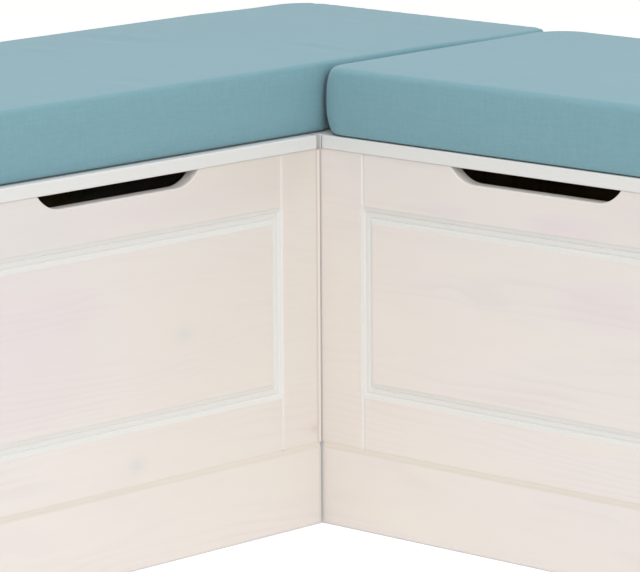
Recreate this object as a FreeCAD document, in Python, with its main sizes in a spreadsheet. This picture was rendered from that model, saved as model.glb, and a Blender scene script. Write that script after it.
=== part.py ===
# Corner storage bench: two chest benches with hinged seat lids, set at a right
# angle and joined by a fixed corner unit, with two loose seat cushions.
# Millimetres, +Z up. The origin lies on the floor under the middle of the box
# around the bench. The open inner corner of the L points to -X and -Y. Leg A
# runs along X and faces -Y, and leg B runs along Y and faces -X.
import FreeCAD, Part
import os
import re
import Sketcher
from FreeCAD import Placement, Rotation, Vector

SIZES = {
    # overall
    "seat_height": 430.0,         # floor to the top of the lids
    "depth": 400.0,               # front face of a leg to the wall plane
    "leg_length": 606.0,          # inner corner to the outer end of a leg
    "board": 15.0,                # fronts, end panels and backs
    "edge_round": 1.0,            # softened edges of the boards
    "fit": 0.3,                   # between soft parts and what they rest on
    # lids
    "lid_thickness": 15.0,
    "lid_gap": 1.5,               # left open by the felt pads
    "lid_proud": 1.5,             # lid edge in front of the front board
    "lid_end_gap_a": 7.0,         # inner corner to the lid, leg A
    "lid_end_gap_b": 2.5,         # inner corner to the lid, leg B
    "lid_edge_round": 1.5,
    # fronts
    "front_end_gap_a": 6.0,       # inner corner to the front board, leg A
    "front_end_gap_b": 0.4,
    "front_rise": 1.3,            # fronts above the end panels, nearly to the lid
    "lap_fit": 0.3,               # front board of leg A to the lip beside it
    "lap_relief": 1.7,            # inner corner to that lip
    "stile_width": 61.5,          # inner corner to the upright V groove
    "stile_groove": 2.2,          # depth of the V groove, half its width
    "moulding_side_a": 69.2,      # end of the leg to the middle of the moulding
    "moulding_side_b": 66.8,
    "moulding_top": 349.2,        # heights of the middle of the moulding
    "moulding_bottom": 157.3,
    "moulding_width": 18.0,
    "moulding_step": 1.0,         # depth just inside its edge
    "ledge_depth": 1.8,           # depth where the sloping ledge ends
    "ledge_half": 4.5,            # middle of the moulding to that end
    "groove_depth": 3.0,
    "groove_slope": 0.8,
    "bead_half": 1.7,             # half width of the bead along its middle
    "bead_depth": 2.4,            # depth of the top of the bead
    "grip_length": 167.0,         # straight bottom of the grip cut-out
    "grip_radius": 40.0,          # its rounded ends
    "grip_drop": 15.1,            # top edge of the front board to its bottom
    "grip_edge_round": 1.5,
    # plinths
    "plinth_height": 90.5,
    "plinth_proud": 2.5,          # in front of the front board
    "plinth_round": 6.5,          # rounded top edge
    "plinth_end_gap_a": 5.2,
    "plinth_end_gap_b": 2.6,
    # chest floor
    "foot_height": 1.5,           # glides under the boards
    "glide_radius": 7.0,
    "cleat_width": 18.0,
    "cleat_height": 20.0,
    "cleat_top": 82.0,
    "floor_thickness": 6.0,
    # lid battens
    "batten_width": 40.0,
    "batten_thickness": 18.0,
    "batten_inset": 70.0,         # end of the leg to the batten
    "batten_front": 45.0,         # front face to the batten
    "batten_back": 60.0,          # wall plane to the batten
    # hinges
    "hinge_space": 6.0,           # wall plane to the back boards
    "hinge_inset": 110.0,         # end of the leg to the middle of a hinge
    "hinge_length": 60.0,
    "leaf_width": 14.0,
    "leaf_thickness": 1.5,
    "barrel_radius": 2.75,
    "barrel_clearance": 0.45,
    "pin_radius": 1.3,
    "running_fit": 0.05,
    "knuckle_gap": 0.4,
    "pin_head_height": 1.0,
    # lid stays
    "stay_radius": 220.0,         # hinge axis to the middle of the curved arm
    "stay_band": 12.0,
    "stay_thickness": 2.0,
    "stay_open": 78.0,            # how far the lid opens, in degrees
    "stay_end": 2.0,              # arm beyond its stop, in degrees
    "stay_clearance": 0.6,
    "stay_offset": 5.0,           # end panel to the arm
    "stay_stop_radius": 3.0,
    "stay_stop_length": 6.0,
    "stay_foot_length": 34.0,
    "stay_foot_width": 14.0,
    "guide_drop": 5.0,
    "guide_height": 8.0,
    "guide_wall": 3.0,
    "guide_clearance": 1.2,       # arm to the guide along its curve
    "guide_ear": 12.0,
    # fastenings
    "screw_radius": 1.5,          # small countersunk screws of the fittings
    "screw_length": 12.0,
    "screw_head_radius": 2.9,
    "batten_screw_radius": 1.75,
    "batten_screw_length": 27.0,
    "batten_screw_head_radius": 3.5,
    "batten_screw_head": 2.5,
    "panel_screw_radius": 3.15,   # end panels to back boards
    "panel_screw_length": 50.0,
    "panel_screw_head_radius": 5.0,
    "panel_screw_head": 3.0,
    "panel_screw_inset": 55.0,    # highest and lowest from the edges
    "dowel_radius": 3.0,
    "dowel_length": 30.0,
    "dowel_in_front": 10.0,
    "dowel_inset": 10.5,          # end of the leg to a dowel
    "dowel_edge": 22.0,           # edge of a board to a dowel
    "bolt_radius": 3.0,           # chests to the corner unit
    "sleeve_radius": 4.0,
    "bolt_head_radius": 7.0,
    "bolt_head": 1.5,
    "bolt_length": 22.0,
    "bolt_height": 250.0,
    "bolt_inset": 85.0,           # front and back of the panels to the bolts
    "sleeve_length": 24.0,
    "sleeve_depth": 17.0,
    "drill_clearance": 0.05,
    "drill_extra": 0.5,
    "pad_radius": 3.5,            # felt pads under the lids
    "pad_inset": 11.0,
    "pad_edge": 45.0,
    "glide_edge": 60.0,
    "nail_radius": 1.0,
    "nail_length": 12.0,
    # corner unit
    "corner_notch": 60.0,         # set back at the floor behind the plinths
    "corner_screw_inset": 40.0,   # ends of the corner cleats to their screws
    # cushions
    "cushion_height": 78.0,
    "cushion_front_a": 5.0,       # front face of the leg to the cushion, leg A
    "cushion_front_b": -4.0,      # the cushion of leg B hangs over a little
    "cushion_back_a": 0.0,        # wall plane to the cushion
    "cushion_back_b": 9.0,
    "cushion_seam": 0.5,
    "cushion_end": 2.0,
    "cushion_corner_margin": 8.0,
    "cushion_corner_round": 28.0,
    "cushion_edge_round": 12.0,
    "cover_thickness": 1.5,
}

DERIVED = {
    "vertex": "(leg_length - depth) / 2",
    "lid_bottom": "seat_height - lid_thickness",
    "box_top": "lid_bottom - lid_gap",
    "front_top": "box_top + front_rise",
    "back_outside": "depth - hinge_space",
    "back_inside": "back_outside - board",
    "hinge_back": "back_outside + barrel_radius + barrel_clearance",
    "hinge_height": "lid_bottom - lid_gap / 2",
    "leaf_back": "hinge_back - barrel_radius - knuckle_gap",
    "leaf_front": "leaf_back - leaf_width",
    "knuckle_length": "(hinge_length - 2 * knuckle_gap) / 3",
    "grip_bottom": "box_top - grip_drop",
    "cleat_bottom": "cleat_top - cleat_height",
    "floor_top": "cleat_top + floor_thickness",
    "outer_panel": "leg_length - board",
    "cushion_bottom": "seat_height + fit",
    "cushion_top": "cushion_bottom + cushion_height",
    "seam": "cushion_front_a - cushion_seam",
    "stay_near": "outer_panel - stay_offset",
    "stay_far": "stay_near - stay_thickness",
    "stay_foot_front": "hinge_back - stay_radius - stay_foot_length / 2",
    "guide_top": "box_top - guide_drop",
    "guide_bottom": "guide_top - guide_height",
    "guide_middle": "hinge_back - stay_radius",
    "guide_slot": "stay_band / 2 + guide_clearance",
    "guide_half": "guide_slot + guide_wall",
    "guide_plate": "outer_panel - stay_thickness",
    "stop_drop": "hinge_height - guide_bottom + stay_stop_radius + fit",
    "stop_angle": "stay_open + asin(stop_drop / stay_radius) / 1 deg",
    "guide_inside": "stay_far - stay_clearance - stay_thickness",
    "corner_inside": "board + cleat_width",
}

EAST = Vector(1, 0, 0)
WEST = Vector(-1, 0, 0)
NORTH = Vector(0, 1, 0)
SOUTH = Vector(0, -1, 0)
UP = Vector(0, 0, 1)
DOWN = Vector(0, 0, -1)

doc = FreeCAD.newDocument("CornerStorageBench")
nodes = []


def linked(formula):
    """A formula with each size and derived place named by its own table."""
    def name_table(match):
        word = match.group(0)
        if word in SIZES:
            return "Sizes." + word
        if word in DERIVED:
            return "Places." + word
        return word
    return re.sub(r"[A-Za-z_]+", name_table, str(formula))


def bind(item, prop, formula):
    item.setExpression(prop, linked(formula))


def make_tables():
    """The driving dimensions, and the places worked out from them."""
    sheet = doc.addObject("Spreadsheet::Sheet", "Sizes")
    for row, (alias, size) in enumerate(SIZES.items(), start=1):
        sheet.set(f"A{row}", alias.replace("_", " "))
        sheet.set(f"B{row}", str(size))
        sheet.setAlias(f"B{row}", alias)
    doc.recompute()
    places = doc.addObject("App::VarSet", "Places")
    for name, formula in DERIVED.items():
        places.addProperty("App::PropertyFloat", name, "Places")
        bind(places, name, formula)
    doc.recompute()


def put(item, x, y, z, turn=None):
    """Places an item at three formulas, turned as asked."""
    item.Placement = Placement(Vector(0, 0, 0), turn or Rotation())
    bind(item, "Placement.Base.x", x)
    bind(item, "Placement.Base.y", y)
    bind(item, "Placement.Base.z", z)
    return item


def size_box(item, x, y, z):
    """Gives a box its place and size from pairs of low and high formulas."""
    bind(item, "Length", f"({x[1]}) - ({x[0]})")
    bind(item, "Width", f"({y[1]}) - ({y[0]})")
    bind(item, "Height", f"({z[1]}) - ({z[0]})")
    return put(item, x[0], y[0], z[0])


def box(name, x, y, z):
    return size_box(doc.addObject("Part::Box", name), x, y, z)


def rod(name, spot, direction, radius, length):
    item = doc.addObject("Part::Cylinder", name)
    bind(item, "Radius", radius)
    bind(item, "Height", length)
    return put(item, *spot, Rotation(UP, direction))


def cone(name, spot, direction, wide, narrow, length):
    item = doc.addObject("Part::Cone", name)
    bind(item, "Radius1", wide)
    bind(item, "Radius2", narrow)
    bind(item, "Height", length)
    return put(item, *spot, Rotation(UP, direction))


def fuse(name, items):
    item = doc.addObject("Part::MultiFuse", name)
    item.Shapes = items
    return item


def cut(name, base, tool):
    item = doc.addObject("Part::Cut", name)
    item.Base = base
    item.Tool = tool
    return item


def group(name, items):
    """Identical pieces that share one node, each a solid of its own."""
    item = doc.addObject("Part::Compound", name)
    item.Links = items
    return item


def along(spot, direction, distance):
    """The spot moved along a direction by a formula."""
    return tuple(f"({at}) + ({distance}) * ({step})" for at, step in zip(spot, direction))


class Leg:
    """One leg of the L, drawn about the inner corner.

    x runs along the leg to the right as seen from its front, and y runs to
    the wall. Leg A lies on the left of the inner corner and leg B on the right.
    """

    def __init__(self, tag, side, turn):
        self.tag = tag
        self.side = side
        self.turn = turn
        self.outward = EAST if side > 0 else WEST
        self.inward = WEST if side > 0 else EAST

    def at(self, run):
        """x of a distance from the inner corner."""
        return f"({run})" if self.side > 0 else f"-({run})"

    def span(self, near, far):
        """Low and high x between two distances from the inner corner."""
        return (self.at(near), self.at(far)) if self.side > 0 else (self.at(far), self.at(near))

    def gap(self, kind):
        return f"{kind}_end_gap_{self.tag}"

    def name(self, piece):
        return f"{piece}_{self.tag}"

    def seat(self, item):
        """Sets a finished piece in the model and lists it as a node."""
        put(item, "vertex", "vertex", "0", Rotation(UP, self.turn))
        nodes.append(item)


def start_body(name):
    return doc.addObject("PartDesign::Body", name)


def plank(body, x, y, z):
    """A plain board as the first feature of a body."""
    return size_box(body.newObject("PartDesign::AdditiveBox", body.Name + "_plank"), x, y, z)


def recess(body, name, x, y, z):
    return size_box(body.newObject("PartDesign::SubtractiveBox", name), x, y, z)


def soften(body, radius, wanted=None):
    """Rounds all edges of the body's last feature, or those that are wanted."""
    doc.recompute()
    base = body.Tip
    item = body.newObject("PartDesign::Fillet", body.Name + "_soft")
    if wanted is None:
        item.Base = (base, ["Face1"])
        item.UseAllEdges = True
    else:
        edges = [f"Edge{number}" for number, edge in enumerate(base.Shape.Edges, start=1) if wanted(edge)]
        item.Base = (base, edges)
    bind(item, "Radius", radius)
    doc.recompute()
    return item


def drill(body, spot, direction, radius, length):
    """A bore from a spot on the surface, begun a little above it."""
    item = body.newObject("PartDesign::SubtractiveCylinder", body.Name + "_bore")
    bind(item, "Radius", f"{radius} + drill_clearance")
    bind(item, "Height", f"{length} + 2 * drill_extra")
    put(item, *along(spot, direction, "-drill_extra"), Rotation(UP, direction))


def countersink(body, spot, direction, wide, narrow, length):
    item = body.newObject("PartDesign::SubtractiveCone", body.Name + "_sink")
    bind(item, "Radius1", f"{wide} + drill_clearance")
    bind(item, "Radius2", f"{narrow} + drill_clearance")
    bind(item, "Height", length)
    put(item, *spot, Rotation(UP, direction))


def role_plane(body, role):
    return next(plane for plane in body.Origin.OriginFeatures if plane.Role == role)


def left_arc(start, end, radius):
    """An arc from start to end with its centre on the left of the way there."""
    chord = end - start
    rise = (radius ** 2 - (chord.Length / 2) ** 2) ** 0.5
    centre = (start + end) / 2 + Vector(-chord.y, chord.x, 0).normalize() * rise
    angles = [Vector(1, 0, 0).getAngle(spot - centre) for spot in (start, end)]
    angles = [angle if spot.y >= centre.y else -angle for angle, spot in zip(angles, (start, end))]
    return Part.ArcOfCircle(Part.Circle(centre, UP, radius), *angles)


def outline(body, name, plane, points, arcs=None):
    """A closed sketch whose corners are each held by two formulas.

    arcs gives the radius of each side that is an arc, by the number of its
    first corner. The corners of such a side run anticlockwise.
    """
    arcs = arcs or {}
    sketch = body.newObject("Sketcher::SketchObject", name)
    sketch.AttachmentSupport = [(role_plane(body, plane), "")]
    sketch.MapMode = "FlatFace"
    count = len(points)

    def value(formula):
        return float(sketch.evalExpression(linked(formula)))

    corners = [Vector(value(across), value(height), 0) for across, height in points]
    for number in range(count):
        ends = (corners[number], corners[(number + 1) % count])
        if number in arcs:
            sketch.addGeometry(left_arc(*ends, value(arcs[number])), False)
        else:
            sketch.addGeometry(Part.LineSegment(*ends), False)
    for number in range(count):
        sketch.addConstraint(Sketcher.Constraint("Coincident", number, 2, (number + 1) % count, 1))
    for number, corner in enumerate(points):
        for kind, formula, axis in (("DistanceX", corner[0], -2), ("DistanceY", corner[1], -1)):
            if formula == "0":
                sketch.addConstraint(Sketcher.Constraint("PointOnObject", number, 1, axis))
                continue
            place = Sketcher.Constraint(kind, -1, 1, number, 1, value(formula))
            hold(sketch, place, f"{kind}{number}", formula)
    for number, radius in arcs.items():
        hold(sketch, Sketcher.Constraint("Radius", number, value(radius)), f"Radius{number}", radius)
    return sketch


def hold(sketch, constraint, label, formula):
    """Adds a constraint that follows a formula."""
    index = sketch.addConstraint(constraint)
    sketch.renameConstraint(index, label)
    bind(sketch, f"Constraints.{label}", formula)


def upright(edge):
    ends = [corner.Point for corner in edge.Vertexes]
    return len(ends) == 2 and (ends[0] - ends[1]).cross(UP).Length < 1e-6


def on_grip_front(edge):
    """The front edges of the grip cut-out."""
    bounds = edge.BoundBox
    low, high = SIZES["plinth_height"] + 1, SIZES["seat_height"] - SIZES["lid_thickness"] - 1
    return abs(bounds.YMin) + abs(bounds.YMax) < 1e-4 and low < bounds.ZMin < high


make_tables()


# Fastenings

def small_screw(name, spot, direction):
    """A countersunk screw whose head lies flush at the spot."""
    shank = rod(name + "_shank", spot, direction, "screw_radius", "screw_length")
    head = cone(name + "_head", spot, direction, "screw_head_radius", "screw_radius", "leaf_thickness")
    return fuse(name, [shank, head])


def wood_screw(name, spot, direction, kind):
    shank = rod(name + "_shank", spot, direction, f"{kind}_radius", f"{kind}_length")
    head = cone(name + "_head", spot, direction, f"{kind}_head_radius", f"{kind}_radius", f"{kind}_head")
    return fuse(name, [shank, head])


def screw_seat(body, spot, direction, kind):
    """Clearance for a wood screw in the board that its head is sunk into."""
    drill(body, spot, direction, f"{kind}_radius", f"{kind}_length")
    countersink(body, spot, direction, f"{kind}_head_radius", f"{kind}_radius", f"{kind}_head")


# Places of fastenings, as distances from the inner corner, depths and heights

HINGE_RUNS = ("hinge_inset", "(leg_length - hinge_inset)")
LEAF_SCREWS = ("-hinge_length / 4", "hinge_length / 4")
LEAF_MIDDLE = "leaf_front + leaf_width / 2"
BATTEN_RUNS = ("batten_inset", "leg_length - batten_inset - batten_width")
BATTEN_SCREWS = (
    "batten_front + batten_width / 2",
    "(depth + batten_front - batten_back) / 2",
    "depth - batten_back - batten_width / 2",
)
BATTEN_BOTTOM = "lid_bottom - batten_thickness"
FOOT_SCREWS = ("-stay_foot_length / 4", "stay_foot_length / 4")
FOOT_SCREW_RUN = "stay_far - stay_foot_width / 2"
FOOT_BOTTOM = "lid_bottom - stay_thickness"
GUIDE_SCREWS = ("-guide_half - guide_ear / 2", "guide_half + guide_ear / 2")
GUIDE_SCREW_HEIGHT = "(guide_top + guide_bottom) / 2"
PANEL_SCREW_DEPTH = "back_inside + board / 2"
PANEL_SCREW_HEIGHTS = (
    "floor_top + panel_screw_inset",
    "(floor_top + box_top) / 2",
    "box_top - panel_screw_inset",
)
DOWEL_RUNS = ("dowel_inset", "leg_length - dowel_inset")
PLINTH_DOWELS = ("foot_height + dowel_edge", "plinth_height - dowel_edge")
FRONT_DOWELS = ("plinth_height + dowel_edge", "box_top - dowel_edge")
BOLT_DEPTHS = ("board + bolt_inset", "depth - bolt_inset")
PAD_DEPTHS = ("pad_edge", "depth - pad_edge")
GLIDE_DEPTHS = ("glide_edge", "depth - glide_edge")


# Visible boards of a leg

def plinth_board(leg):
    """A board whose top edge is rounded back to the front board."""
    body = start_body(leg.name("plinth_board"))
    points = [
        ("board", "foot_height"),
        ("board", "plinth_height"),
        ("0", "plinth_height"),
        ("-plinth_proud", "plinth_height - plinth_round"),
        ("-plinth_proud", "foot_height"),
    ]
    radius = "(plinth_proud ^ 2 + plinth_round ^ 2) / (2 * plinth_proud)"
    sketch = outline(body, leg.name("plinth_outline"), "YZ_Plane", points, {2: radius})
    start, end = leg.span(leg.gap("plinth"), "leg_length")
    bind(sketch, "AttachmentOffset.Base.z", start)
    pad = body.newObject("PartDesign::Pad", leg.name("plinth_length"))
    pad.Profile = sketch
    bind(pad, "Length", f"({end}) - ({start})")
    for run in DOWEL_RUNS:
        for height in PLINTH_DOWELS:
            drill(body, (leg.at(run), "board", height), SOUTH, "dowel_radius", "dowel_in_front")
    leg.seat(body)


def moulding(body, leg):
    """Routs the moulding: a step, a sloping ledge, and a groove on each side of a bead."""
    half = [
        ("moulding_width / 2", "-drill_extra"),
        ("moulding_width / 2", "moulding_step"),
        ("ledge_half", "ledge_depth"),
        ("ledge_half - groove_slope", "groove_depth"),
        ("bead_half + groove_slope", "groove_depth"),
        ("bead_half", "bead_depth"),
    ]
    below = [(depth, f"moulding_bottom - ({offset})") for offset, depth in half]
    above = [(depth, f"moulding_bottom + {offset}") for offset, depth in reversed(half)]
    section = outline(body, leg.name("moulding_section"), "YZ_Plane", below + above)
    middle = leg.at("leg_length / 2")
    bind(section, "AttachmentOffset.Base.z", middle)
    side = f"moulding_side_{leg.tag}"
    left, right = leg.span(side, f"leg_length - {side}")
    corners = [
        (middle, "moulding_bottom"),
        (right, "moulding_bottom"),
        (right, "moulding_top"),
        (left, "moulding_top"),
        (left, "moulding_bottom"),
    ]
    path = outline(body, leg.name("moulding_path"), "XZ_Plane", corners)
    rout = body.newObject("PartDesign::SubtractivePipe", leg.name("moulding"))
    rout.Profile = section
    rout.Spine = path
    rout.Transition = "Right corner"


def grip(body, leg):
    """The cut-out in the top edge by which the lid is lifted."""
    low = f"{leg.at('leg_length / 2')} - grip_length / 2"
    high = f"{leg.at('leg_length / 2')} + grip_length / 2"
    points = [
        (low, "grip_bottom"),
        (high, "grip_bottom"),
        (f"{high} + grip_radius", "grip_bottom + grip_radius"),
        (f"{low} - grip_radius", "grip_bottom + grip_radius"),
    ]
    arcs = {1: "grip_radius", 3: "grip_radius"}
    pocket = body.newObject("PartDesign::Pocket", leg.name("grip"))
    pocket.Profile = outline(body, leg.name("grip_outline"), "XZ_Plane", points, arcs)
    pocket.Type = "ThroughAll"
    pocket.Midplane = True


def front_board(leg):
    """One board with an upright V groove near each end, a routed moulding and a grip."""
    body = start_body(leg.name("front_board"))
    grooves = ("stile_width", "leg_length - stile_width")
    low, high = leg.span(leg.gap("front"), "leg_length")
    left, right = (leg.at(run) for run in (grooves if leg.side > 0 else reversed(grooves)))
    points = [(low, "0")]
    for groove in (left, right):
        points += [
            (f"{groove} - stile_groove", "0"),
            (groove, "stile_groove"),
            (f"{groove} + stile_groove", "0"),
        ]
    points += [(high, "0"), (high, "board"), (low, "board")]
    plan = outline(body, leg.name("front_plan"), "XY_Plane", points)
    bind(plan, "AttachmentOffset.Base.z", "plinth_height")
    pad = body.newObject("PartDesign::Pad", leg.name("front_height"))
    pad.Profile = plan
    bind(pad, "Length", "front_top - plinth_height")
    grip(body, leg)
    soften(body, "grip_edge_round", on_grip_front)
    moulding(body, leg)
    for run in DOWEL_RUNS:
        for height in FRONT_DOWELS:
            drill(body, (leg.at(run), "board", height), SOUTH, "dowel_radius", "dowel_in_front")
    leg.seat(body)


def lid(leg):
    """The seat board, with recesses and pilot holes under it for its fittings."""
    body = start_body(leg.name("lid"))
    x = leg.span(leg.gap("lid"), "leg_length")
    plank(body, x, ("-lid_proud", "back_outside"), ("lid_bottom", "seat_height"))
    soften(body, "lid_edge_round")
    for hinge in HINGE_RUNS:
        leaf_recess(body, leg, hinge, ("lid_bottom - drill_extra", "lid_bottom + leaf_thickness"))
        for step in LEAF_SCREWS:
            spot = (leg.at(f"{hinge} + {step}"), LEAF_MIDDLE, "lid_bottom")
            drill(body, spot, UP, "screw_radius", "screw_length")
    for step in FOOT_SCREWS:
        spot = (leg.at(FOOT_SCREW_RUN), f"guide_middle + {step}", "lid_bottom")
        drill(body, spot, UP, "screw_radius", "screw_length - stay_thickness")
    for batten in BATTEN_RUNS:
        for depth in BATTEN_SCREWS:
            spot = (leg.at(f"{batten} + batten_width / 2"), depth, "lid_bottom")
            drill(body, spot, UP, "batten_screw_radius", "batten_screw_length - batten_thickness")
    leg.seat(body)


def leaf_recess(body, leg, hinge, z):
    """Lets a hinge leaf in flush, open at the back."""
    half = "(hinge_length / 2 + drill_clearance)"
    x = leg.span(f"{hinge} - {half}", f"{hinge} + {half}")
    y = ("leaf_front - drill_clearance", "back_outside + drill_extra")
    recess(body, body.Name + "_recess", x, y, z)


# Boards inside a leg

def outer_end_panel(leg):
    body = start_body(leg.name("outer_end_panel"))
    x = leg.span("outer_panel", "leg_length")
    plank(body, x, ("board", "depth"), ("foot_height", "box_top"))
    soften(body, "edge_round")
    end_panel_bores(body, leg, "leg_length", leg.inward)
    for step in GUIDE_SCREWS:
        spot = (leg.at("outer_panel"), f"guide_middle + {step}", GUIDE_SCREW_HEIGHT)
        drill(body, spot, leg.outward, "screw_radius", "screw_length - stay_thickness")
    leg.seat(body)


def inner_end_panel(leg):
    """The panel next to the corner unit. That of leg A shows a lip beside its front board."""
    body = start_body(leg.name("inner_end_panel"))
    lipped = leg.side < 0
    z = ("foot_height", "box_top")
    plank(body, leg.span("0", "board"), ("0" if lipped else "board", "depth"), z)
    if lipped:
        behind_front = (f"{leg.gap('front')} - lap_fit", "board + drill_extra")
        beside_corner = ("-drill_extra", "lap_relief")
        behind_plinth = ("-drill_extra", "board + drill_extra")
        y = ("-drill_extra", "board")
        full = ("foot_height - drill_extra", "box_top + drill_extra")
        low = ("foot_height - drill_extra", "plinth_height")
        recess(body, leg.name("front_rebate"), leg.span(*behind_front), y, full)
        recess(body, leg.name("lip_relief"), leg.span(*beside_corner), y, full)
        recess(body, leg.name("plinth_rebate"), leg.span(*behind_plinth), y, low)
    end_panel_bores(body, leg, "0", leg.outward)
    for depth in BOLT_DEPTHS:
        drill(body, (leg.at("board"), depth, "bolt_height"), leg.inward, "sleeve_radius", "board")
    leg.seat(body)


def end_panel_bores(body, leg, face, direction):
    """Bores for the back's screws from the outer face, the dowels and the glides."""
    for height in PANEL_SCREW_HEIGHTS:
        screw_seat(body, (leg.at(face), PANEL_SCREW_DEPTH, height), direction, "panel_screw")
    run = "dowel_inset" if face == "0" else "leg_length - dowel_inset"
    for height in PLINTH_DOWELS + FRONT_DOWELS:
        drill(body, (leg.at(run), "board", height), NORTH, "dowel_radius", "dowel_length - dowel_in_front")
    middle = leg.at("board / 2" if face == "0" else "leg_length - board / 2")
    for depth in GLIDE_DEPTHS:
        drill(body, (middle, depth, "foot_height"), UP, "nail_radius", "nail_length")


def back_panel(leg):
    body = start_body(leg.name("back_panel"))
    x = leg.span("board", "outer_panel")
    plank(body, x, ("back_inside", "back_outside"), ("cleat_bottom", "box_top"))
    for hinge in HINGE_RUNS:
        leaf_recess(body, leg, hinge, ("box_top - leaf_thickness", "box_top + drill_extra"))
        for step in LEAF_SCREWS:
            spot = (leg.at(f"{hinge} + {step}"), LEAF_MIDDLE, "box_top")
            drill(body, spot, DOWN, "screw_radius", "screw_length")
    for run, direction in (("board", leg.outward), ("outer_panel", leg.inward)):
        for height in PANEL_SCREW_HEIGHTS:
            spot = (leg.at(run), PANEL_SCREW_DEPTH, height)
            drill(body, spot, direction, "panel_screw_radius", "panel_screw_length - board")
    leg.seat(body)


def plain_board(name, x, y, z):
    body = start_body(name)
    plank(body, x, y, z)
    return body


def chest_floor(leg):
    """The floor sheet and the cleats under it."""
    inside = leg.span("board", "outer_panel")
    height = ("cleat_bottom", "cleat_top")
    front = ("board", "corner_inside")
    back = ("back_inside - cleat_width", "back_inside")
    sheet = (inside, ("board", "back_inside"), ("cleat_top", "floor_top"))
    leg.seat(plain_board(leg.name("bottom_panel"), *sheet))
    leg.seat(plain_board(leg.name("front_cleat"), inside, front, height))
    leg.seat(plain_board(leg.name("back_cleat"), inside, back, height))
    ends = (("board", "corner_inside"), ("outer_panel - cleat_width", "outer_panel"))
    cleats = [
        plain_board(leg.name(f"end_cleat_{number}"), leg.span(*run), (front[1], back[0]), height)
        for number, run in enumerate(ends, start=1)
    ]
    leg.seat(group(leg.name("end_cleats"), cleats))


def lid_battens(leg):
    battens = []
    for number, run in enumerate(BATTEN_RUNS, start=1):
        body = start_body(leg.name(f"batten_{number}"))
        y = ("batten_front", "depth - batten_back")
        plank(body, leg.span(run, f"{run} + batten_width"), y, (BATTEN_BOTTOM, "lid_bottom"))
        soften(body, "edge_round")
        for depth in BATTEN_SCREWS:
            spot = (leg.at(f"{run} + batten_width / 2"), depth, BATTEN_BOTTOM)
            screw_seat(body, spot, UP, "batten_screw")
        battens.append(body)
    leg.seat(group(leg.name("lid_battens"), battens))


# Hinges

def hinge_leaf(leg, name, hinge, z, screws_down, knuckles):
    """A leaf with its knuckles bored for the pin and countersunk for its screws."""
    start = f"{hinge} - hinge_length / 2"
    whole = leg.span(start, f"{start} + hinge_length")
    pieces = [box(name + "_plate", whole, ("leaf_front", "leaf_back"), z)]
    for number in knuckles:
        near = f"{start} + {number} * (knuckle_length + knuckle_gap)"
        run = leg.span(near, f"{near} + knuckle_length")
        pieces.append(box(f"{name}_tab_{number}", run, ("leaf_back", "hinge_back"), z))
        spot = (run[0], "hinge_back", "hinge_height")
        pieces.append(rod(f"{name}_knuckle_{number}", spot, EAST, "barrel_radius", "knuckle_length"))
    bore_start = (f"{whole[0]} - drill_extra", "hinge_back", "hinge_height")
    bore_size = ("pin_radius + running_fit", "hinge_length + 2 * drill_extra")
    bores = [rod(name + "_bore", bore_start, EAST, *bore_size)]
    face, direction = (z[1], DOWN) if screws_down else (z[0], UP)
    for number, step in enumerate(LEAF_SCREWS):
        spot = (leg.at(f"{hinge} + {step}"), LEAF_MIDDLE, face)
        wide, narrow = "screw_head_radius + drill_clearance", "screw_radius + drill_clearance"
        bores.append(cone(f"{name}_sink_{number}", spot, direction, wide, narrow, "leaf_thickness"))
    return cut(name, fuse(name + "_blank", pieces), fuse(name + "_bores", bores))


def hinges(leg):
    fixed_z = ("box_top - leaf_thickness", "box_top")
    lid_z = ("lid_bottom", "lid_bottom + leaf_thickness")
    fixed, moving, pins = [], [], []
    for number, hinge in enumerate(HINGE_RUNS, start=1):
        fixed.append(hinge_leaf(leg, leg.name(f"fixed_leaf_{number}"), hinge, fixed_z, True, (0, 2)))
        moving.append(hinge_leaf(leg, leg.name(f"lid_leaf_{number}"), hinge, lid_z, False, (1,)))
        name = leg.name(f"pin_{number}")
        low = leg.span(f"{hinge} - hinge_length / 2", f"{hinge} + hinge_length / 2")[0]
        shank_spot = (low, "hinge_back", "hinge_height")
        shank = rod(name + "_shank", shank_spot, EAST, "pin_radius", "hinge_length")
        head_spot = (f"{low} - running_fit - pin_head_height", "hinge_back", "hinge_height")
        head = rod(name + "_head", head_spot, EAST, "barrel_radius", "pin_head_height")
        neck_spot = along(head_spot, EAST, "pin_head_height")
        neck = rod(name + "_neck", neck_spot, EAST, "pin_radius", "running_fit")
        pins.append(fuse(name, [head, neck, shank]))
    leg.seat(group(leg.name("hinge_fixed_leaves"), fixed))
    leg.seat(group(leg.name("hinge_lid_leaves"), moving))
    leg.seat(group(leg.name("hinge_pins"), pins))


# Lid stay

def arc_plate(name, leg, radius, end_angle):
    """A sector about the hinge axis, from level with it down towards the back."""
    low = leg.span("stay_far", "stay_near")[0]
    item = doc.addObject("Part::Cylinder", name)
    bind(item, "Radius", radius)
    bind(item, "Height", "stay_thickness")
    bind(item, "Angle", end_angle)
    return put(item, low, "hinge_back", "hinge_height", Rotation(SOUTH, DOWN, EAST, "XYZ"))


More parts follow.
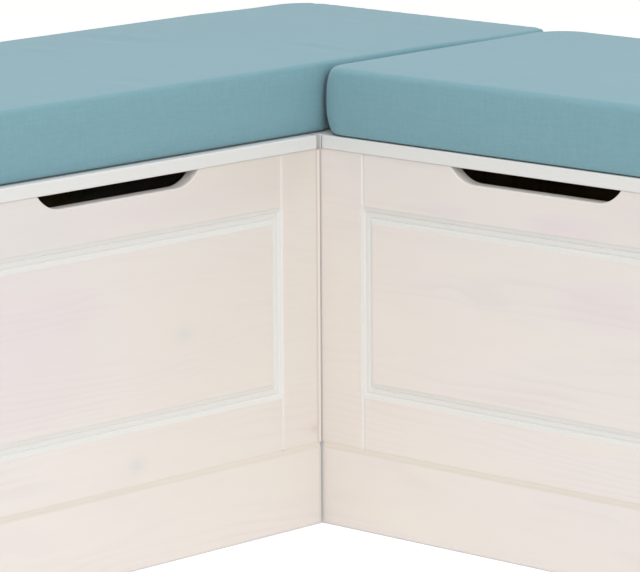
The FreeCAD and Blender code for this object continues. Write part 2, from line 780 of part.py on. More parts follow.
def stay_arm(leg):
    """A curved arm on a foot under the lid, with a stop pin near its free end."""
    reach = "stop_angle + stay_end"
    outside = arc_plate(leg.name("arm_outside"), leg, "stay_radius + stay_band / 2", reach)
    inside = arc_plate(leg.name("arm_inside"), leg, "stay_radius - stay_band / 2", reach)
    band = cut(leg.name("arm_band"), outside, inside)
    x = leg.span("stay_far - stay_foot_width", "stay_near")
    y = ("stay_foot_front", "stay_foot_front + stay_foot_length")
    foot = box(leg.name("arm_foot"), x, y, (FOOT_BOTTOM, "lid_bottom"))
    low = leg.span("stay_far", "stay_near")[0]
    stop_spot = (
        f"{low} + (stay_thickness - stay_stop_length) / 2",
        "hinge_back - stay_radius * cos(stop_angle)",
        "hinge_height - stay_radius * sin(stop_angle)",
    )
    stop = rod(leg.name("arm_stop"), stop_spot, EAST, "stay_stop_radius", "stay_stop_length")
    bores = []
    for number, step in enumerate(FOOT_SCREWS):
        spot = (leg.at(FOOT_SCREW_RUN), f"guide_middle + {step}", FOOT_BOTTOM)
        bores += screw_bores(leg.name(f"foot_bore_{number}"), spot, UP)
    blank = fuse(leg.name("arm_blank"), [band, foot, stop])
    leg.seat(cut(leg.name("stay_arm"), blank, fuse(leg.name("foot_bores"), bores)))


def screw_bores(name, spot, direction):
    """A countersunk hole through a fitting's plate."""
    wide, narrow = "screw_head_radius + drill_clearance", "screw_radius + drill_clearance"
    sink = cone(name + "_sink", spot, direction, wide, narrow, "leaf_thickness")
    through = rod(name + "_through", spot, direction, narrow, "screw_length")
    return [sink, through]


def stay_guide(leg):
    """A staple on the end panel through which the arm runs."""
    z = ("guide_bottom", "guide_top")
    ears = "guide_half + guide_ear"
    block = box(
        leg.name("guide_block"),
        leg.span("guide_inside", "outer_panel"),
        ("guide_middle - guide_half", "guide_middle + guide_half"),
        z,
    )
    plate = box(
        leg.name("guide_plate"),
        leg.span("guide_plate", "outer_panel"),
        (f"guide_middle - {ears}", f"guide_middle + {ears}"),
        z,
    )
    slot = box(
        leg.name("guide_slot"),
        leg.span("stay_far - stay_clearance", "stay_near + stay_clearance"),
        ("guide_middle - guide_slot", "guide_middle + guide_slot"),
        ("guide_bottom - drill_extra", "guide_top + drill_extra"),
    )
    bores = [slot]
    for number, step in enumerate(GUIDE_SCREWS):
        spot = (leg.at("guide_plate"), f"guide_middle + {step}", GUIDE_SCREW_HEIGHT)
        bores += screw_bores(leg.name(f"guide_bore_{number}"), spot, leg.outward)
    blank = fuse(leg.name("guide_blank"), [block, plate])
    leg.seat(cut(leg.name("stay_guide"), blank, fuse(leg.name("guide_bores"), bores)))


# Fastenings of a leg

def small_screws(leg):
    """The screws of the fixed leaves and the guide, and those into the lid."""
    fixed, moving = [], []
    for hinge in HINGE_RUNS:
        for step in LEAF_SCREWS:
            run = leg.at(f"{hinge} + {step}")
            name = leg.name(f"leaf_screw_{len(fixed) + 1}")
            fixed.append(small_screw(name, (run, LEAF_MIDDLE, "box_top"), DOWN))
            moving.append(small_screw("lid_" + name, (run, LEAF_MIDDLE, "lid_bottom"), UP))
    for number, step in enumerate(GUIDE_SCREWS, start=1):
        spot = (leg.at("guide_plate"), f"guide_middle + {step}", GUIDE_SCREW_HEIGHT)
        fixed.append(small_screw(leg.name(f"guide_screw_{number}"), spot, leg.outward))
    for number, step in enumerate(FOOT_SCREWS, start=1):
        spot = (leg.at(FOOT_SCREW_RUN), f"guide_middle + {step}", FOOT_BOTTOM)
        moving.append(small_screw(leg.name(f"foot_screw_{number}"), spot, UP))
    leg.seat(group(leg.name("fitting_screws"), fixed))
    leg.seat(group(leg.name("lid_screws"), moving))


def wood_screws(leg):
    """The screws of the lid battens and those of the end panels into the back."""
    batten_screws, panel_screws = [], []
    for run in BATTEN_RUNS:
        for depth in BATTEN_SCREWS:
            spot = (leg.at(f"{run} + batten_width / 2"), depth, BATTEN_BOTTOM)
            name = leg.name(f"batten_screw_{len(batten_screws) + 1}")
            batten_screws.append(wood_screw(name, spot, UP, "batten_screw"))
    for run, direction in (("0", leg.outward), ("leg_length", leg.inward)):
        for height in PANEL_SCREW_HEIGHTS:
            spot = (leg.at(run), PANEL_SCREW_DEPTH, height)
            name = leg.name(f"panel_screw_{len(panel_screws) + 1}")
            panel_screws.append(wood_screw(name, spot, direction, "panel_screw"))
    leg.seat(group(leg.name("batten_screws"), batten_screws))
    leg.seat(group(leg.name("panel_screws"), panel_screws))


def dowels_and_pads(leg):
    """Dowels between the fronts and the end panels, and felt pads under the lid."""
    dowels, pads = [], []
    for run in DOWEL_RUNS:
        for height in PLINTH_DOWELS + FRONT_DOWELS:
            spot = (leg.at(run), "board - dowel_in_front", height)
            name = leg.name(f"dowel_{len(dowels) + 1}")
            dowels.append(rod(name, spot, NORTH, "dowel_radius", "dowel_length"))
    for run in ("pad_inset", "leg_length - pad_inset"):
        for depth in PAD_DEPTHS:
            name = leg.name(f"pad_{len(pads) + 1}")
            pads.append(rod(name, (leg.at(run), depth, "box_top"), UP, "pad_radius", "lid_gap"))
    leg.seat(group(leg.name("dowels"), dowels))
    leg.seat(group(leg.name("lid_bumpers"), pads))


# Cushions

def cushion_block(name, x, y, inset):
    """A box with rounded corners and edges, drawn in on all sides by the inset."""
    body = start_body(name)

    def drawn_in(pair, by):
        return (f"{pair[0]} + {by}", f"{pair[1]} - {by}")

    z = ("cushion_bottom", "cushion_top")
    plank(body, drawn_in(x, inset), drawn_in(y, inset), drawn_in(z, inset))
    soften(body, f"cushion_corner_round - {inset}", upright)
    soften(body, f"cushion_edge_round - {inset}", lambda edge: edge.BoundBox.ZLength < 1e-4)
    return body


def cushion(leg, run, y):
    """A sewn cover around a foam core that fills it."""
    x = leg.span(*run)
    outside = cushion_block(leg.name("cover_outside"), x, y, "0")
    inside = cushion_block(leg.name("cover_inside"), x, y, "cover_thickness")
    leg.seat(cut(leg.name("cushion_cover"), outside, inside))
    leg.seat(cushion_block(leg.name("cushion_foam"), x, y, "cover_thickness"))


# Corner unit

def corner_panel(name, x, y, notch, bolts, screws, glide):
    """A side panel with its front foot cut back, bored for bolts, screws and a glide."""
    body = start_body(name)
    plank(body, x, y, ("foot_height", "lid_bottom"))
    recess(body, name + "_notch", *notch, ("foot_height - drill_extra", "plinth_height"))
    for spot, direction in bolts:
        drill(body, spot, direction, "sleeve_radius", "board")
    for spot, direction in screws:
        screw_seat(body, spot, direction, "panel_screw")
    drill(body, glide, UP, "nail_radius", "nail_length")
    return body


def corner_unit():
    """Two side panels, two backs and a fixed top on cleats."""
    screws_a = [(("0", PANEL_SCREW_DEPTH, height), EAST) for height in PANEL_SCREW_HEIGHTS]
    screws_b = [((PANEL_SCREW_DEPTH, "0", height), NORTH) for height in PANEL_SCREW_HEIGHTS]
    screws_back = [
        ((PANEL_SCREW_DEPTH, "back_outside", height), SOUTH) for height in PANEL_SCREW_HEIGHTS
    ]
    bolts_a = [(("board", depth, "bolt_height"), WEST) for depth in BOLT_DEPTHS]
    bolts_b = [((depth, "board", "bolt_height"), SOUTH) for depth in BOLT_DEPTHS]
    past = "-drill_extra"
    glides = [
        ("board / 2", "depth - glide_edge", "foot_height"),
        ("depth - glide_edge", "board / 2", "foot_height"),
        (PANEL_SCREW_DEPTH, PANEL_SCREW_DEPTH, "foot_height"),
    ]
    notch_a = ((past, "board + drill_extra"), (past, "corner_notch"))
    notch_b = (("board - drill_extra", "corner_notch"), (past, "board + drill_extra"))
    panel_a = corner_panel(
        "corner_panel_a", ("0", "board"), ("0", "depth"), notch_a, bolts_a, screws_a, glides[0]
    )
    panel_b = corner_panel(
        "corner_panel_b", ("board", "depth"), ("0", "board"), notch_b, bolts_b, screws_b, glides[1]
    )
    back_a = start_body("corner_back_a")
    height = ("foot_height", "lid_bottom")
    plank(back_a, ("board", "back_outside"), ("back_inside", "back_outside"), height)
    for level in PANEL_SCREW_HEIGHTS:
        spot = ("board", PANEL_SCREW_DEPTH, level)
        drill(back_a, spot, EAST, "panel_screw_radius", "panel_screw_length - board")
    for spot, direction in screws_back:
        screw_seat(back_a, spot, direction, "panel_screw")
    drill(back_a, glides[2], UP, "nail_radius", "nail_length")
    back_b = start_body("corner_back_b")
    plank(back_b, ("back_inside", "back_outside"), ("board", "back_inside"), height)
    for run, direction in (("board", NORTH), ("back_inside", SOUTH)):
        for level in PANEL_SCREW_HEIGHTS:
            spot = (PANEL_SCREW_DEPTH, run, level)
            drill(back_b, spot, direction, "panel_screw_radius", "panel_screw_length - board")
    for body in (panel_a, panel_b, back_a, back_b):
        seat_corner(body)
    screws = [
        wood_screw(f"corner_panel_screw_{number}", spot, direction, "panel_screw")
        for number, (spot, direction) in enumerate(screws_a + screws_b + screws_back, start=1)
    ]
    seat_corner(group("corner_panel_screws", screws))
    corner_top_and_cleats()
    floor_glides(glides)


def seat_corner(item):
    """Sets a finished piece of the corner unit in the model and lists it as a node."""
    put(item, "vertex", "vertex", "0")
    nodes.append(item)


def corner_top_and_cleats():
    top = start_body("corner_top")
    plank(top, ("0", "back_outside"), ("0", "back_outside"), ("lid_bottom", "seat_height"))
    soften(top, "edge_round")
    z = (BATTEN_BOTTOM, "lid_bottom")
    along_a = (("board", "corner_inside"), ("board", "back_inside"))
    along_b = (("corner_inside", "back_inside"), ("board", "corner_inside"))
    middle = "board + cleat_width / 2"
    near, far = "corner_inside + corner_screw_inset", "back_inside - corner_screw_inset"
    spots = (((middle, near), (middle, far)), ((near, middle), (far, middle)))
    cleats, screws = [], []
    for number, (x, y) in enumerate((along_a, along_b), start=1):
        cleat = start_body(f"corner_cleat_{number}")
        plank(cleat, x, y, z)
        for across, back in spots[number - 1]:
            spot = (across, back, BATTEN_BOTTOM)
            screw_seat(cleat, spot, UP, "batten_screw")
            hole = (across, back, "lid_bottom")
            drill(top, hole, UP, "batten_screw_radius", "batten_screw_length - batten_thickness")
            screws.append(wood_screw(f"corner_screw_{len(screws) + 1}", spot, UP, "batten_screw"))
        cleats.append(cleat)
    seat_corner(top)
    seat_corner(group("corner_cleats", cleats))
    seat_corner(group("corner_screws", screws))


def glide(name, spot):
    """A nail-on glide: a flat disc and its nail."""
    x, y, _ = spot
    disc = rod(name + "_disc", (x, y, "0"), UP, "glide_radius", "foot_height")
    nail = rod(name + "_nail", (x, y, "foot_height"), UP, "nail_radius", "nail_length")
    return fuse(name, [disc, nail])


def floor_glides(corner_spots):
    """Glides under the end panels of both legs and under the corner unit."""
    glides = [
        glide(f"corner_glide_{number}", spot) for number, spot in enumerate(corner_spots, start=1)
    ]
    for leg in (LEG_A, LEG_B):
        under_leg = []
        for run in ("board / 2", "leg_length - board / 2"):
            for depth in GLIDE_DEPTHS:
                name = leg.name(f"glide_{len(under_leg) + 1}")
                under_leg.append(glide(name, (leg.at(run), depth, "foot_height")))
        side = group(leg.name("glides"), under_leg)
        side.Placement = Placement(Vector(0, 0, 0), Rotation(UP, leg.turn))
        glides.append(side)
    seat_corner(group("floor_glides", glides))


def module_fastenings():
    """Bolts from the chests, through both panels, into sleeve nuts in the corner unit."""
    sides = ([], [])
    for leg in (LEG_A, LEG_B):
        bolts, nuts = [], []
        for number, depth in enumerate(BOLT_DEPTHS, start=1):
            name = leg.name(f"bolt_{number}")
            spot = (leg.at("board"), depth, "bolt_height")
            head_spot = along(spot, leg.inward, "-bolt_head")
            head = rod(name + "_head", head_spot, leg.inward, "bolt_head_radius", "bolt_head")
            shank = rod(name + "_shank", spot, leg.inward, "bolt_radius", "bolt_length")
            bolts.append(fuse(name, [head, shank]))
            nuts.append(sleeve_nut(leg, leg.name(f"nut_{number}"), depth))
        for side, items in zip(sides, (bolts, nuts)):
            both = group(leg.name(items[0].Name + "_pair"), items)
            both.Placement = Placement(Vector(0, 0, 0), Rotation(UP, leg.turn))
            side.append(both)
    seat_corner(group("module_bolts", sides[0]))
    seat_corner(group("sleeve_nuts", sides[1]))


def sleeve_nut(leg, name, depth):
    """A headed sleeve with a blind bore for the bolt."""
    spot = (leg.at("-board"), depth, "bolt_height")
    head_spot = along(spot, leg.outward, "-bolt_head")
    head = rod(name + "_head", head_spot, leg.outward, "bolt_head_radius", "bolt_head")
    sleeve = rod(name + "_sleeve", spot, leg.outward, "sleeve_radius", "sleeve_length")
    mouth = along(spot, leg.outward, "sleeve_length - sleeve_depth")
    bore_size = ("bolt_radius + drill_clearance", "sleeve_depth + drill_extra")
    bore = rod(name + "_bore", mouth, leg.outward, *bore_size)
    return cut(name, fuse(name + "_blank", [head, sleeve]), bore)


LEG_A = Leg("a", -1, 0)
LEG_B = Leg("b", 1, -90)
LEG_PIECES = (
    front_board,
    plinth_board,
    lid,
    outer_end_panel,
    inner_end_panel,
    back_panel,
    chest_floor,
    lid_battens,
    hinges,
    stay_arm,
    stay_guide,
    small_screws,
    wood_screws,
    dowels_and_pads,
)
for leg in (LEG_A, LEG_B):
    for piece in LEG_PIECES:
        piece(leg)
corner_unit()
module_fastenings()
cushion(
    LEG_A,
    ("cushion_corner_margin - depth", "leg_length - cushion_end"),
    ("cushion_front_a", "depth - cushion_back_a"),
)
cushion(
    LEG_B,
    ("-seam", "leg_length - cushion_end"),
    ("cushion_front_b", "depth - cushion_back_b"),
)
doc.recompute()

for item in doc.Objects:
    if "Invalid" in item.State or "Error" in item.State:
        raise RuntimeError(f"{item.Name}: {item.State}")
for item in nodes:
    if item.Shape.isNull() or not item.Shape.isValid():
        raise RuntimeError(f"{item.Label}: no valid shape")

os.makedirs("parts", exist_ok=True)
for item in nodes:
    item.Shape.exportStep(f"parts/{item.Label}.step")
    print(item.Label, len(item.Shape.Solids), round(item.Shape.Volume, 1))
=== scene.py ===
"""Looks of the corner storage bench: its finishes, its two seat cushions and a plain studio."""

import logging
import math
from dataclasses import dataclass, field, replace
from enum import Enum

import bmesh
import bpy
import numpy as np
from bpy.types import Material, Mesh, Node, NodeSocket, NodeTree, Object
from mathutils import Matrix, Vector


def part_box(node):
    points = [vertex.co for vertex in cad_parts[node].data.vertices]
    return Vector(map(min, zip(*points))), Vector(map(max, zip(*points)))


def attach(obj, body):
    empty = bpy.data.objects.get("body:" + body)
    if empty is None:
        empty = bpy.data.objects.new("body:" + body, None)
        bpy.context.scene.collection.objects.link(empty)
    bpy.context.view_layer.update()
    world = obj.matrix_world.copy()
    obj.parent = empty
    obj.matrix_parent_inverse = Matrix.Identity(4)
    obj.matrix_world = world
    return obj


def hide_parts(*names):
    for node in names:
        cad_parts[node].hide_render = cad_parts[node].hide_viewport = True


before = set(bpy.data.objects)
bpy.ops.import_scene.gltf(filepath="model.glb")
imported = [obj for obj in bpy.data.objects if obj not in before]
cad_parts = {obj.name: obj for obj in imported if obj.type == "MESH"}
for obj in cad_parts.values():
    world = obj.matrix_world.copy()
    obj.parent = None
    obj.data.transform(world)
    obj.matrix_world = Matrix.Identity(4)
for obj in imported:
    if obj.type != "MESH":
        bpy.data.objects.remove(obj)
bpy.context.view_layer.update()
log = logging.getLogger("corner_bench")

MM = 0.001
TINY = 1e-9

Pair = tuple[float, float]
Triple = tuple[float, float, float]
Colour = tuple[float, float, float, float]
Setting = float | int | str | tuple[float, ...]
Source = Node | NodeSocket


# Helpers


def linear(code: str) -> Colour:
    """Turns an sRGB hex colour into linear light.

    Args:
        code: The colour as six hex digits after a hash sign.

    Returns:
        Red, green, blue and an alpha of 1, linear.
    """
    parts = (int(code[place : place + 2], 16) / 255 for place in (1, 3, 5))
    red, green, blue = (
        part / 12.92 if part <= 0.04045 else ((part + 0.055) / 1.055) ** 2.4 for part in parts
    )
    return red, green, blue, 1.0


def add_node(
    tree: NodeTree,
    kind: str,
    settings: dict[str | int, Setting] | None = None,
    links: dict[str | int, Source] | None = None,
) -> Node:
    """Adds one node to a tree, sets its values and joins its inputs.

    Args:
        tree: The tree that the node goes into.
        kind: The node's type without its ShaderNode prefix, and after a dot its operation.
        settings: Values by the node's property, or by the name or number of an input.
        links: Sockets, or nodes for their first output, by the name or number of an input.

    Returns:
        The new node.
    """
    kind, _, operation = kind.partition(".")
    node = tree.nodes.new(f"ShaderNode{kind}")
    if operation:
        node.operation = operation
    for key, value in (settings or {}).items():
        if isinstance(key, str) and hasattr(node, key):
            setattr(node, key, value)
        else:
            node.inputs[key].default_value = value
    for key, source in (links or {}).items():
        socket = source.outputs[0] if isinstance(source, Node) else source
        tree.links.new(socket, node.inputs[key])
    return node


def start_material(name: str) -> tuple[Material, NodeTree]:
    """Makes an empty material.

    Args:
        name: The finish's name.

    Returns:
        The material and its node tree, with no nodes in it.
    """
    material = bpy.data.materials.new(name)
    material.use_nodes = True
    material.node_tree.nodes.clear()
    return material, material.node_tree


def finish_nodes(piece: str, finishes: dict[Material, list[str]], ending: str = "") -> None:
    """Gives CAD nodes new materials, whatever they came with, and reports the piece.

    Args:
        piece: The sub-assembly that the nodes belong to.
        finishes: The nodes' names, by what they are made of.
        ending: What each name ends in.
    """
    for material, names in finishes.items():
        for name in names:
            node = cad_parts[name + ending]
            if not node.material_slots:
                node.data.materials.append(None)
            for slot in node.material_slots:
                slot.link = "OBJECT"
                slot.material = material
    log.info("%s: %d nodes finished", piece, sum(len(names) for names in finishes.values()))


def cells(long_mm: float, wide_mm: float) -> Triple:
    """Turns the size of a pattern's spots into its scale on a board's three axes.

    Args:
        long_mm: How long a spot is, along the grain.
        wide_mm: How wide and deep it is.

    Returns:
        How many spots fit in a metre along, through and across the board.
    """
    return 1000 / long_mm, 1000 / wide_mm, 1000 / wide_mm


class Leg(Enum):
    """The two legs of the corner: A runs along X, B along Y."""

    A = "a"
    B = "b"

    def place(self, along: np.ndarray, across: np.ndarray, height: np.ndarray) -> np.ndarray:
        """Turns places along, across and above a leg into points of the frame.

        Args:
            along: Distances along the leg's own axis.
            across: Distances from front to back.
            height: Heights above the floor.

        Returns:
            One row of X, Y and Z for each place.
        """
        pair = (along, across) if self is Leg.A else (across, along)
        return np.stack([*pair, height], axis=-1)


class Grain(Enum):
    """How a board lies: the axis of its grain, then of its thickness, then of its width."""

    ALONG_X = "XYZ"
    ALONG_Y = "YXZ"
    FLAT_X = "XZY"
    FLAT_Y = "YZX"
    UPRIGHT_X = "ZXY"
    UPRIGHT_Y = "ZYX"


# Finishes


@dataclass(frozen=True)
class Figure:
    """A spot in a board: a knot or eye that the grain flows round, or a patch of another tint."""

    along: float
    across: float
    length_mm: float
    width_mm: float
    lift_mm: float = 0.0
    tint: str = ""
    amount: float = 0.0


@dataclass(frozen=True)
class Pine:
    """Glued-up pine boards, sanded, then left bare or brushed with a thin white wash.

    Under the wash the growth rings show only as faint lines, a little darker and pinker than the
    rest. Routed grooves hold more of the wash, and their colour is also made whiter and bluer as
    painted light that brightens their shaded walls, so they look whiter. Of the pairs, drift,
    waver, blotch and fibre give a spot's length and width, and the others where a change starts
    and is full.
    """

    name: str
    early: str
    late: str
    cloud: str
    strength: float
    roughness: float
    ring_mm: float = 4.5
    late_wood: Pair = (0.3, 0.85)
    fades: float = 0.84
    stave_mm: float = 86.0
    first_mm: float = 90.5
    scatter: float = 2.2
    heart_mm: float = 10.0
    wander_mm: float = 60.0
    drift_mm: Pair = (769.231, 500.0)
    waver: float = 2.0
    waver_mm: Pair = (142.857, 16.6667)
    blotch_mm: Pair = (250.0, 55.5556)
    thin_wash: Pair = (0.40, 0.65)
    least_shown: float = 0.05
    clouded: Pair = (0.35, 0.75)
    most_cloud: float = 0.6
    fibre_mm: Pair = (50.0, 2.0)
    ring_relief: float = 0.5
    bump: float = 0.12
    bump_mm: float = 0.25
    smoother: float = 0.05
    rougher: float = 0.08
    surface: float = 0.0
    # Groove colour: partly wash that collects in the grooves, partly painted light whitening their
    # shaded walls.
    routed: str = ""
    groove_mm: Pair = (0.5, 1.3)
    deepest_mm: float = 5.0
    end_facing: float = 0.95
    # A darker, warmer band painted along the plinth's rounded top edge, and the heights where it
    # rises and where it fades.
    plinth_edge_band: str = ""
    edge_band_mm: Pair = (83.5, 87.0)
    edge_band_end_mm: Pair = (90.3, 92.5)
    # Painted light: how much paler the colour is made near the floor, standing in for light from
    # the pale floor, and the heights over which it fades out.
    painted_floor_light_gain: float = 0.0
    painted_floor_light_mm: Pair = (120.0, 400.0)
    seed: float = 0.0
    figures: tuple[Figure, ...] = ()

    def board(self, tree: NodeTree, grain: Grain) -> Node:
        """Gives points as along the grain, through the board, and across it.

        Args:
            tree: The material's tree.
            grain: How the board lies.

        Returns:
            A node whose vector holds the three, in metres.
        """
        place = add_node(tree, "TexCoord")
        axes = add_node(tree, "SeparateXYZ", links={0: place.outputs["Object"]})
        order = [axes.outputs[axis] for axis in grain.value]
        return add_node(tree, "CombineXYZ", links=dict(enumerate(order)))

    def spot_share(self, tree: NodeTree, board: Node, spot: Figure, peak: float) -> Node:
        """Falls from a peak at the middle of a knot, eye or patch to 0 at its rim.

        Args:
            tree: The material's tree.
            board: Points in the board.
            spot: The knot, eye or patch.
            peak: The value at its middle.

        Returns:
            A node with the value.
        """
        away = add_node(tree, "VectorMath.SUBTRACT", {1: (spot.along, 0, spot.across)}, {0: board})
        shares = (1 / (spot.length_mm * MM), 0, 1 / (spot.width_mm * MM))
        near = add_node(tree, "VectorMath.MULTIPLY", {1: shares}, {0: away})
        reach = add_node(tree, "VectorMath.LENGTH", links={0: near})
        return add_node(
            tree,
            "MapRange",
            {"interpolation_type": "SMOOTHSTEP", "To Min": peak, "To Max": 0},
            {0: reach.outputs["Value"]},
        )

    def staves(self, tree: NodeTree, across: NodeSocket) -> tuple[Node, Node, Node]:
        """Tells the glued staves apart, and gives each a heart of its own.

        Args:
            tree: The material's tree.
            across: Places across the board.

        Returns:
            Nodes with the stave's lot, its chance values, and its heart's place across the board.
        """
        per_metre, first = 1000 / self.stave_mm, self.first_mm / self.stave_mm
        stave = add_node(tree, "Math.MULTIPLY_ADD", {1: per_metre, 2: -first}, {0: across})
        number = add_node(tree, "Math.FLOOR", links={0: stave})
        lot = add_node(tree, "Math.ADD", {1: self.seed}, {0: number})
        chance = add_node(tree, "TexWhiteNoise", {"noise_dimensions": "1D"}, {"W": lot})
        start_mm = self.first_mm + self.stave_mm * (1 - self.scatter) / 2
        start = add_node(
            tree, "Math.MULTIPLY_ADD", {1: self.stave_mm * MM, 2: start_mm * MM}, {0: number}
        )
        heart = add_node(
            tree,
            "Math.MULTIPLY_ADD",
            {1: self.scatter * self.stave_mm * MM},
            {0: chance.outputs["Value"], 2: start},
        )
        return lot, chance, heart

    def rings(self, tree: NodeTree, board: Node) -> Node:
        """Draws growth rings as cuts through cones whose heart wanders along the board.

        Args:
            tree: The material's tree.
            board: Points in the board.

        Returns:
            A node that is 0 in early wood and rises to 1 in late wood.
        """
        axes = add_node(tree, "SeparateXYZ", links={0: board})
        lot, chance, heart = self.staves(tree, axes.outputs["Z"])
        slow = add_node(tree, "VectorMath.MULTIPLY", {1: cells(*self.drift_mm)}, {0: board})
        shifted = add_node(tree, "VectorMath.ADD", links={0: slow, 1: chance.outputs["Color"]})
        drift = add_node(
            tree,
            "TexNoise",
            {"noise_dimensions": "4D", "Scale": 1.0, "Detail": 1.5, "Roughness": 0.4},
            {"Vector": shifted, "W": lot},
        )
        deep = add_node(
            tree, "Math.MULTIPLY_ADD", {1: self.wander_mm * MM, 2: self.heart_mm * MM}, {0: drift}
        )
        under = add_node(tree, "Math.ADD", links={0: deep, 1: axes.outputs["Y"]})
        across: Source = axes.outputs["Z"]
        for spot in self.figures:
            if spot.lift_mm:
                lift = self.spot_share(tree, board, spot, spot.lift_mm * MM)
                across = add_node(tree, "Math.ADD", links={0: lift, 1: across})
        beside = add_node(tree, "Math.SUBTRACT", links={0: across, 1: heart})
        cut = add_node(tree, "CombineXYZ", links={0: beside, 1: under})
        radius = add_node(tree, "VectorMath.LENGTH", links={0: cut})
        fine = add_node(tree, "VectorMath.MULTIPLY", {1: cells(*self.waver_mm)}, {0: board})
        noise = add_node(
            tree, "TexNoise", {"Scale": 1.0, "Detail": 1.0, "Roughness": 0.4}, {"Vector": fine}
        )
        waver = add_node(tree, "Math.MULTIPLY", {1: self.waver}, {0: noise})
        count = add_node(
            tree,
            "Math.MULTIPLY_ADD",
            {1: 1000 / self.ring_mm},
            {0: radius.outputs["Value"], 2: waver},
        )
        year = add_node(tree, "Math.FRACT", links={0: count})
        begun, full = self.late_wood
        darker = add_node(
            tree,
            "MapRange",
            {"interpolation_type": "SMOOTHSTEP", "From Min": begun, "From Max": full},
            {0: year},
        )
        ended = add_node(
            tree,
            "MapRange",
            {"interpolation_type": "SMOOTHSTEP", "From Min": self.fades, "To Min": 1, "To Max": 0},
            {0: year},
        )
        return add_node(tree, "Math.MULTIPLY", links={0: darker, 1: ended})

    def routed_share(self, tree: NodeTree, grain: Grain, through: NodeSocket) -> Node:
        """Finds the routed grooves, and leaves out the board's sawn ends and its back.

        Args:
            tree: The material's tree.
            grain: How the board lies.
            through: Places through the board's thickness.

        Returns:
            A node that is 1 in the grooves and 0 elsewhere.
        """
        begun, full = (self.surface + depth * MM for depth in self.groove_mm)
        sunk = add_node(tree, "MapRange", {"From Min": begun, "From Max": full}, {0: through})
        deepest = self.surface + self.deepest_mm * MM
        near = add_node(tree, "Math.LESS_THAN", {1: deepest}, {0: through})
        place = add_node(tree, "TexCoord")
        facing = add_node(tree, "SeparateXYZ", links={0: place.outputs["Normal"]})
        endwise = add_node(tree, "Math.ABSOLUTE", links={0: facing.outputs[grain.value[0]]})
        beside = add_node(tree, "Math.LESS_THAN", {1: self.end_facing}, {0: endwise})
        front = add_node(tree, "Math.MULTIPLY", links={0: near, 1: beside})
        return add_node(tree, "Math.MULTIPLY", links={0: sunk, 1: front})

    def plinth_edge_share(self, tree: NodeTree, height: NodeSocket) -> Node:
        """Finds the plinth's top edge, where a darker, warmer band is painted.

        Args:
            tree: The material's tree.
            height: Heights above the floor.

        Returns:
            A node that is 1 along the edge and 0 elsewhere.
        """
        begun, full = (level * MM for level in self.edge_band_mm)
        rising = add_node(
            tree,
            "MapRange",
            {"interpolation_type": "SMOOTHSTEP", "From Min": begun, "From Max": full},
            {0: height},
        )
        fading, gone = (level * MM for level in self.edge_band_end_mm)
        ended = add_node(
            tree,
            "MapRange",
            {"From Min": fading, "From Max": gone, "To Min": 1, "To Max": 0},
            {0: height},
        )
        return add_node(tree, "Math.MULTIPLY", links={0: rising, 1: ended})

    def ground(self, tree: NodeTree, board: Node, rings: Node) -> NodeSocket:
        """Colours the wood, with rings that show more where the coat was brushed thinner.

        Args:
            tree: The material's tree.
            board: Points in the board.
            rings: How far each point is late wood.

        Returns:
            The colour, without spots and edges.
        """
        spread = add_node(tree, "VectorMath.MULTIPLY", {1: cells(*self.blotch_mm)}, {0: board})
        blotch = add_node(
            tree,
            "TexNoise",
            {"noise_dimensions": "4D", "W": self.seed, "Scale": 1.0},
            {"Vector": spread},
        )
        begun, full = self.thin_wash
        thin = add_node(
            tree,
            "MapRange",
            {"From Min": begun, "From Max": full, "To Min": self.least_shown},
            {0: blotch},
        )
        shown = add_node(tree, "Math.MULTIPLY", links={0: rings, 1: thin})
        amount = add_node(tree, "Math.MULTIPLY", {1: self.strength}, {0: shown})
        begun, full = self.clouded
        tinted = add_node(
            tree,
            "MapRange",
            {"From Min": begun, "From Max": full, "To Max": self.most_cloud},
            {0: blotch},
        )
        plain = add_node(
            tree,
            "Mix",
            {"data_type": "RGBA", 6: linear(self.early), 7: linear(self.cloud)},
            {0: tinted},
        ).outputs[2]
        return add_node(
            tree, "Mix", {"data_type": "RGBA", 7: linear(self.late)}, {0: amount, 6: plain}
        ).outputs[2]

    def make(self, grain: Grain) -> Material:
        """Makes the finish for boards that lie one way.

        Args:
            grain: How the boards lie.

        Returns:
            The material.
        """
        material, tree = start_material(f"{self.name}_{grain.name.lower()}")
        board = self.board(tree, grain)
        axes = add_node(tree, "SeparateXYZ", links={0: board})
        rings = self.rings(tree, board)
        colour = self.ground(tree, board, rings)
        tints = [
            (self.spot_share(tree, board, spot, spot.amount), spot.tint)
            for spot in self.figures
            if spot.tint
        ]
        # Grooves take a whiter, bluer colour: partly wash, partly painted light on their shaded
        # walls.
        if self.routed:
            tints.append((self.routed_share(tree, grain, axes.outputs["Y"]), self.routed))
        # A darker, warmer band is painted along the plinth's top edge.
        if self.plinth_edge_band:
            tints.append((self.plinth_edge_share(tree, axes.outputs["Z"]), self.plinth_edge_band))
        for share, tint in tints:
            colour = add_node(
                tree, "Mix", {"data_type": "RGBA", 7: linear(tint)}, {0: share, 6: colour}
            ).outputs[2]
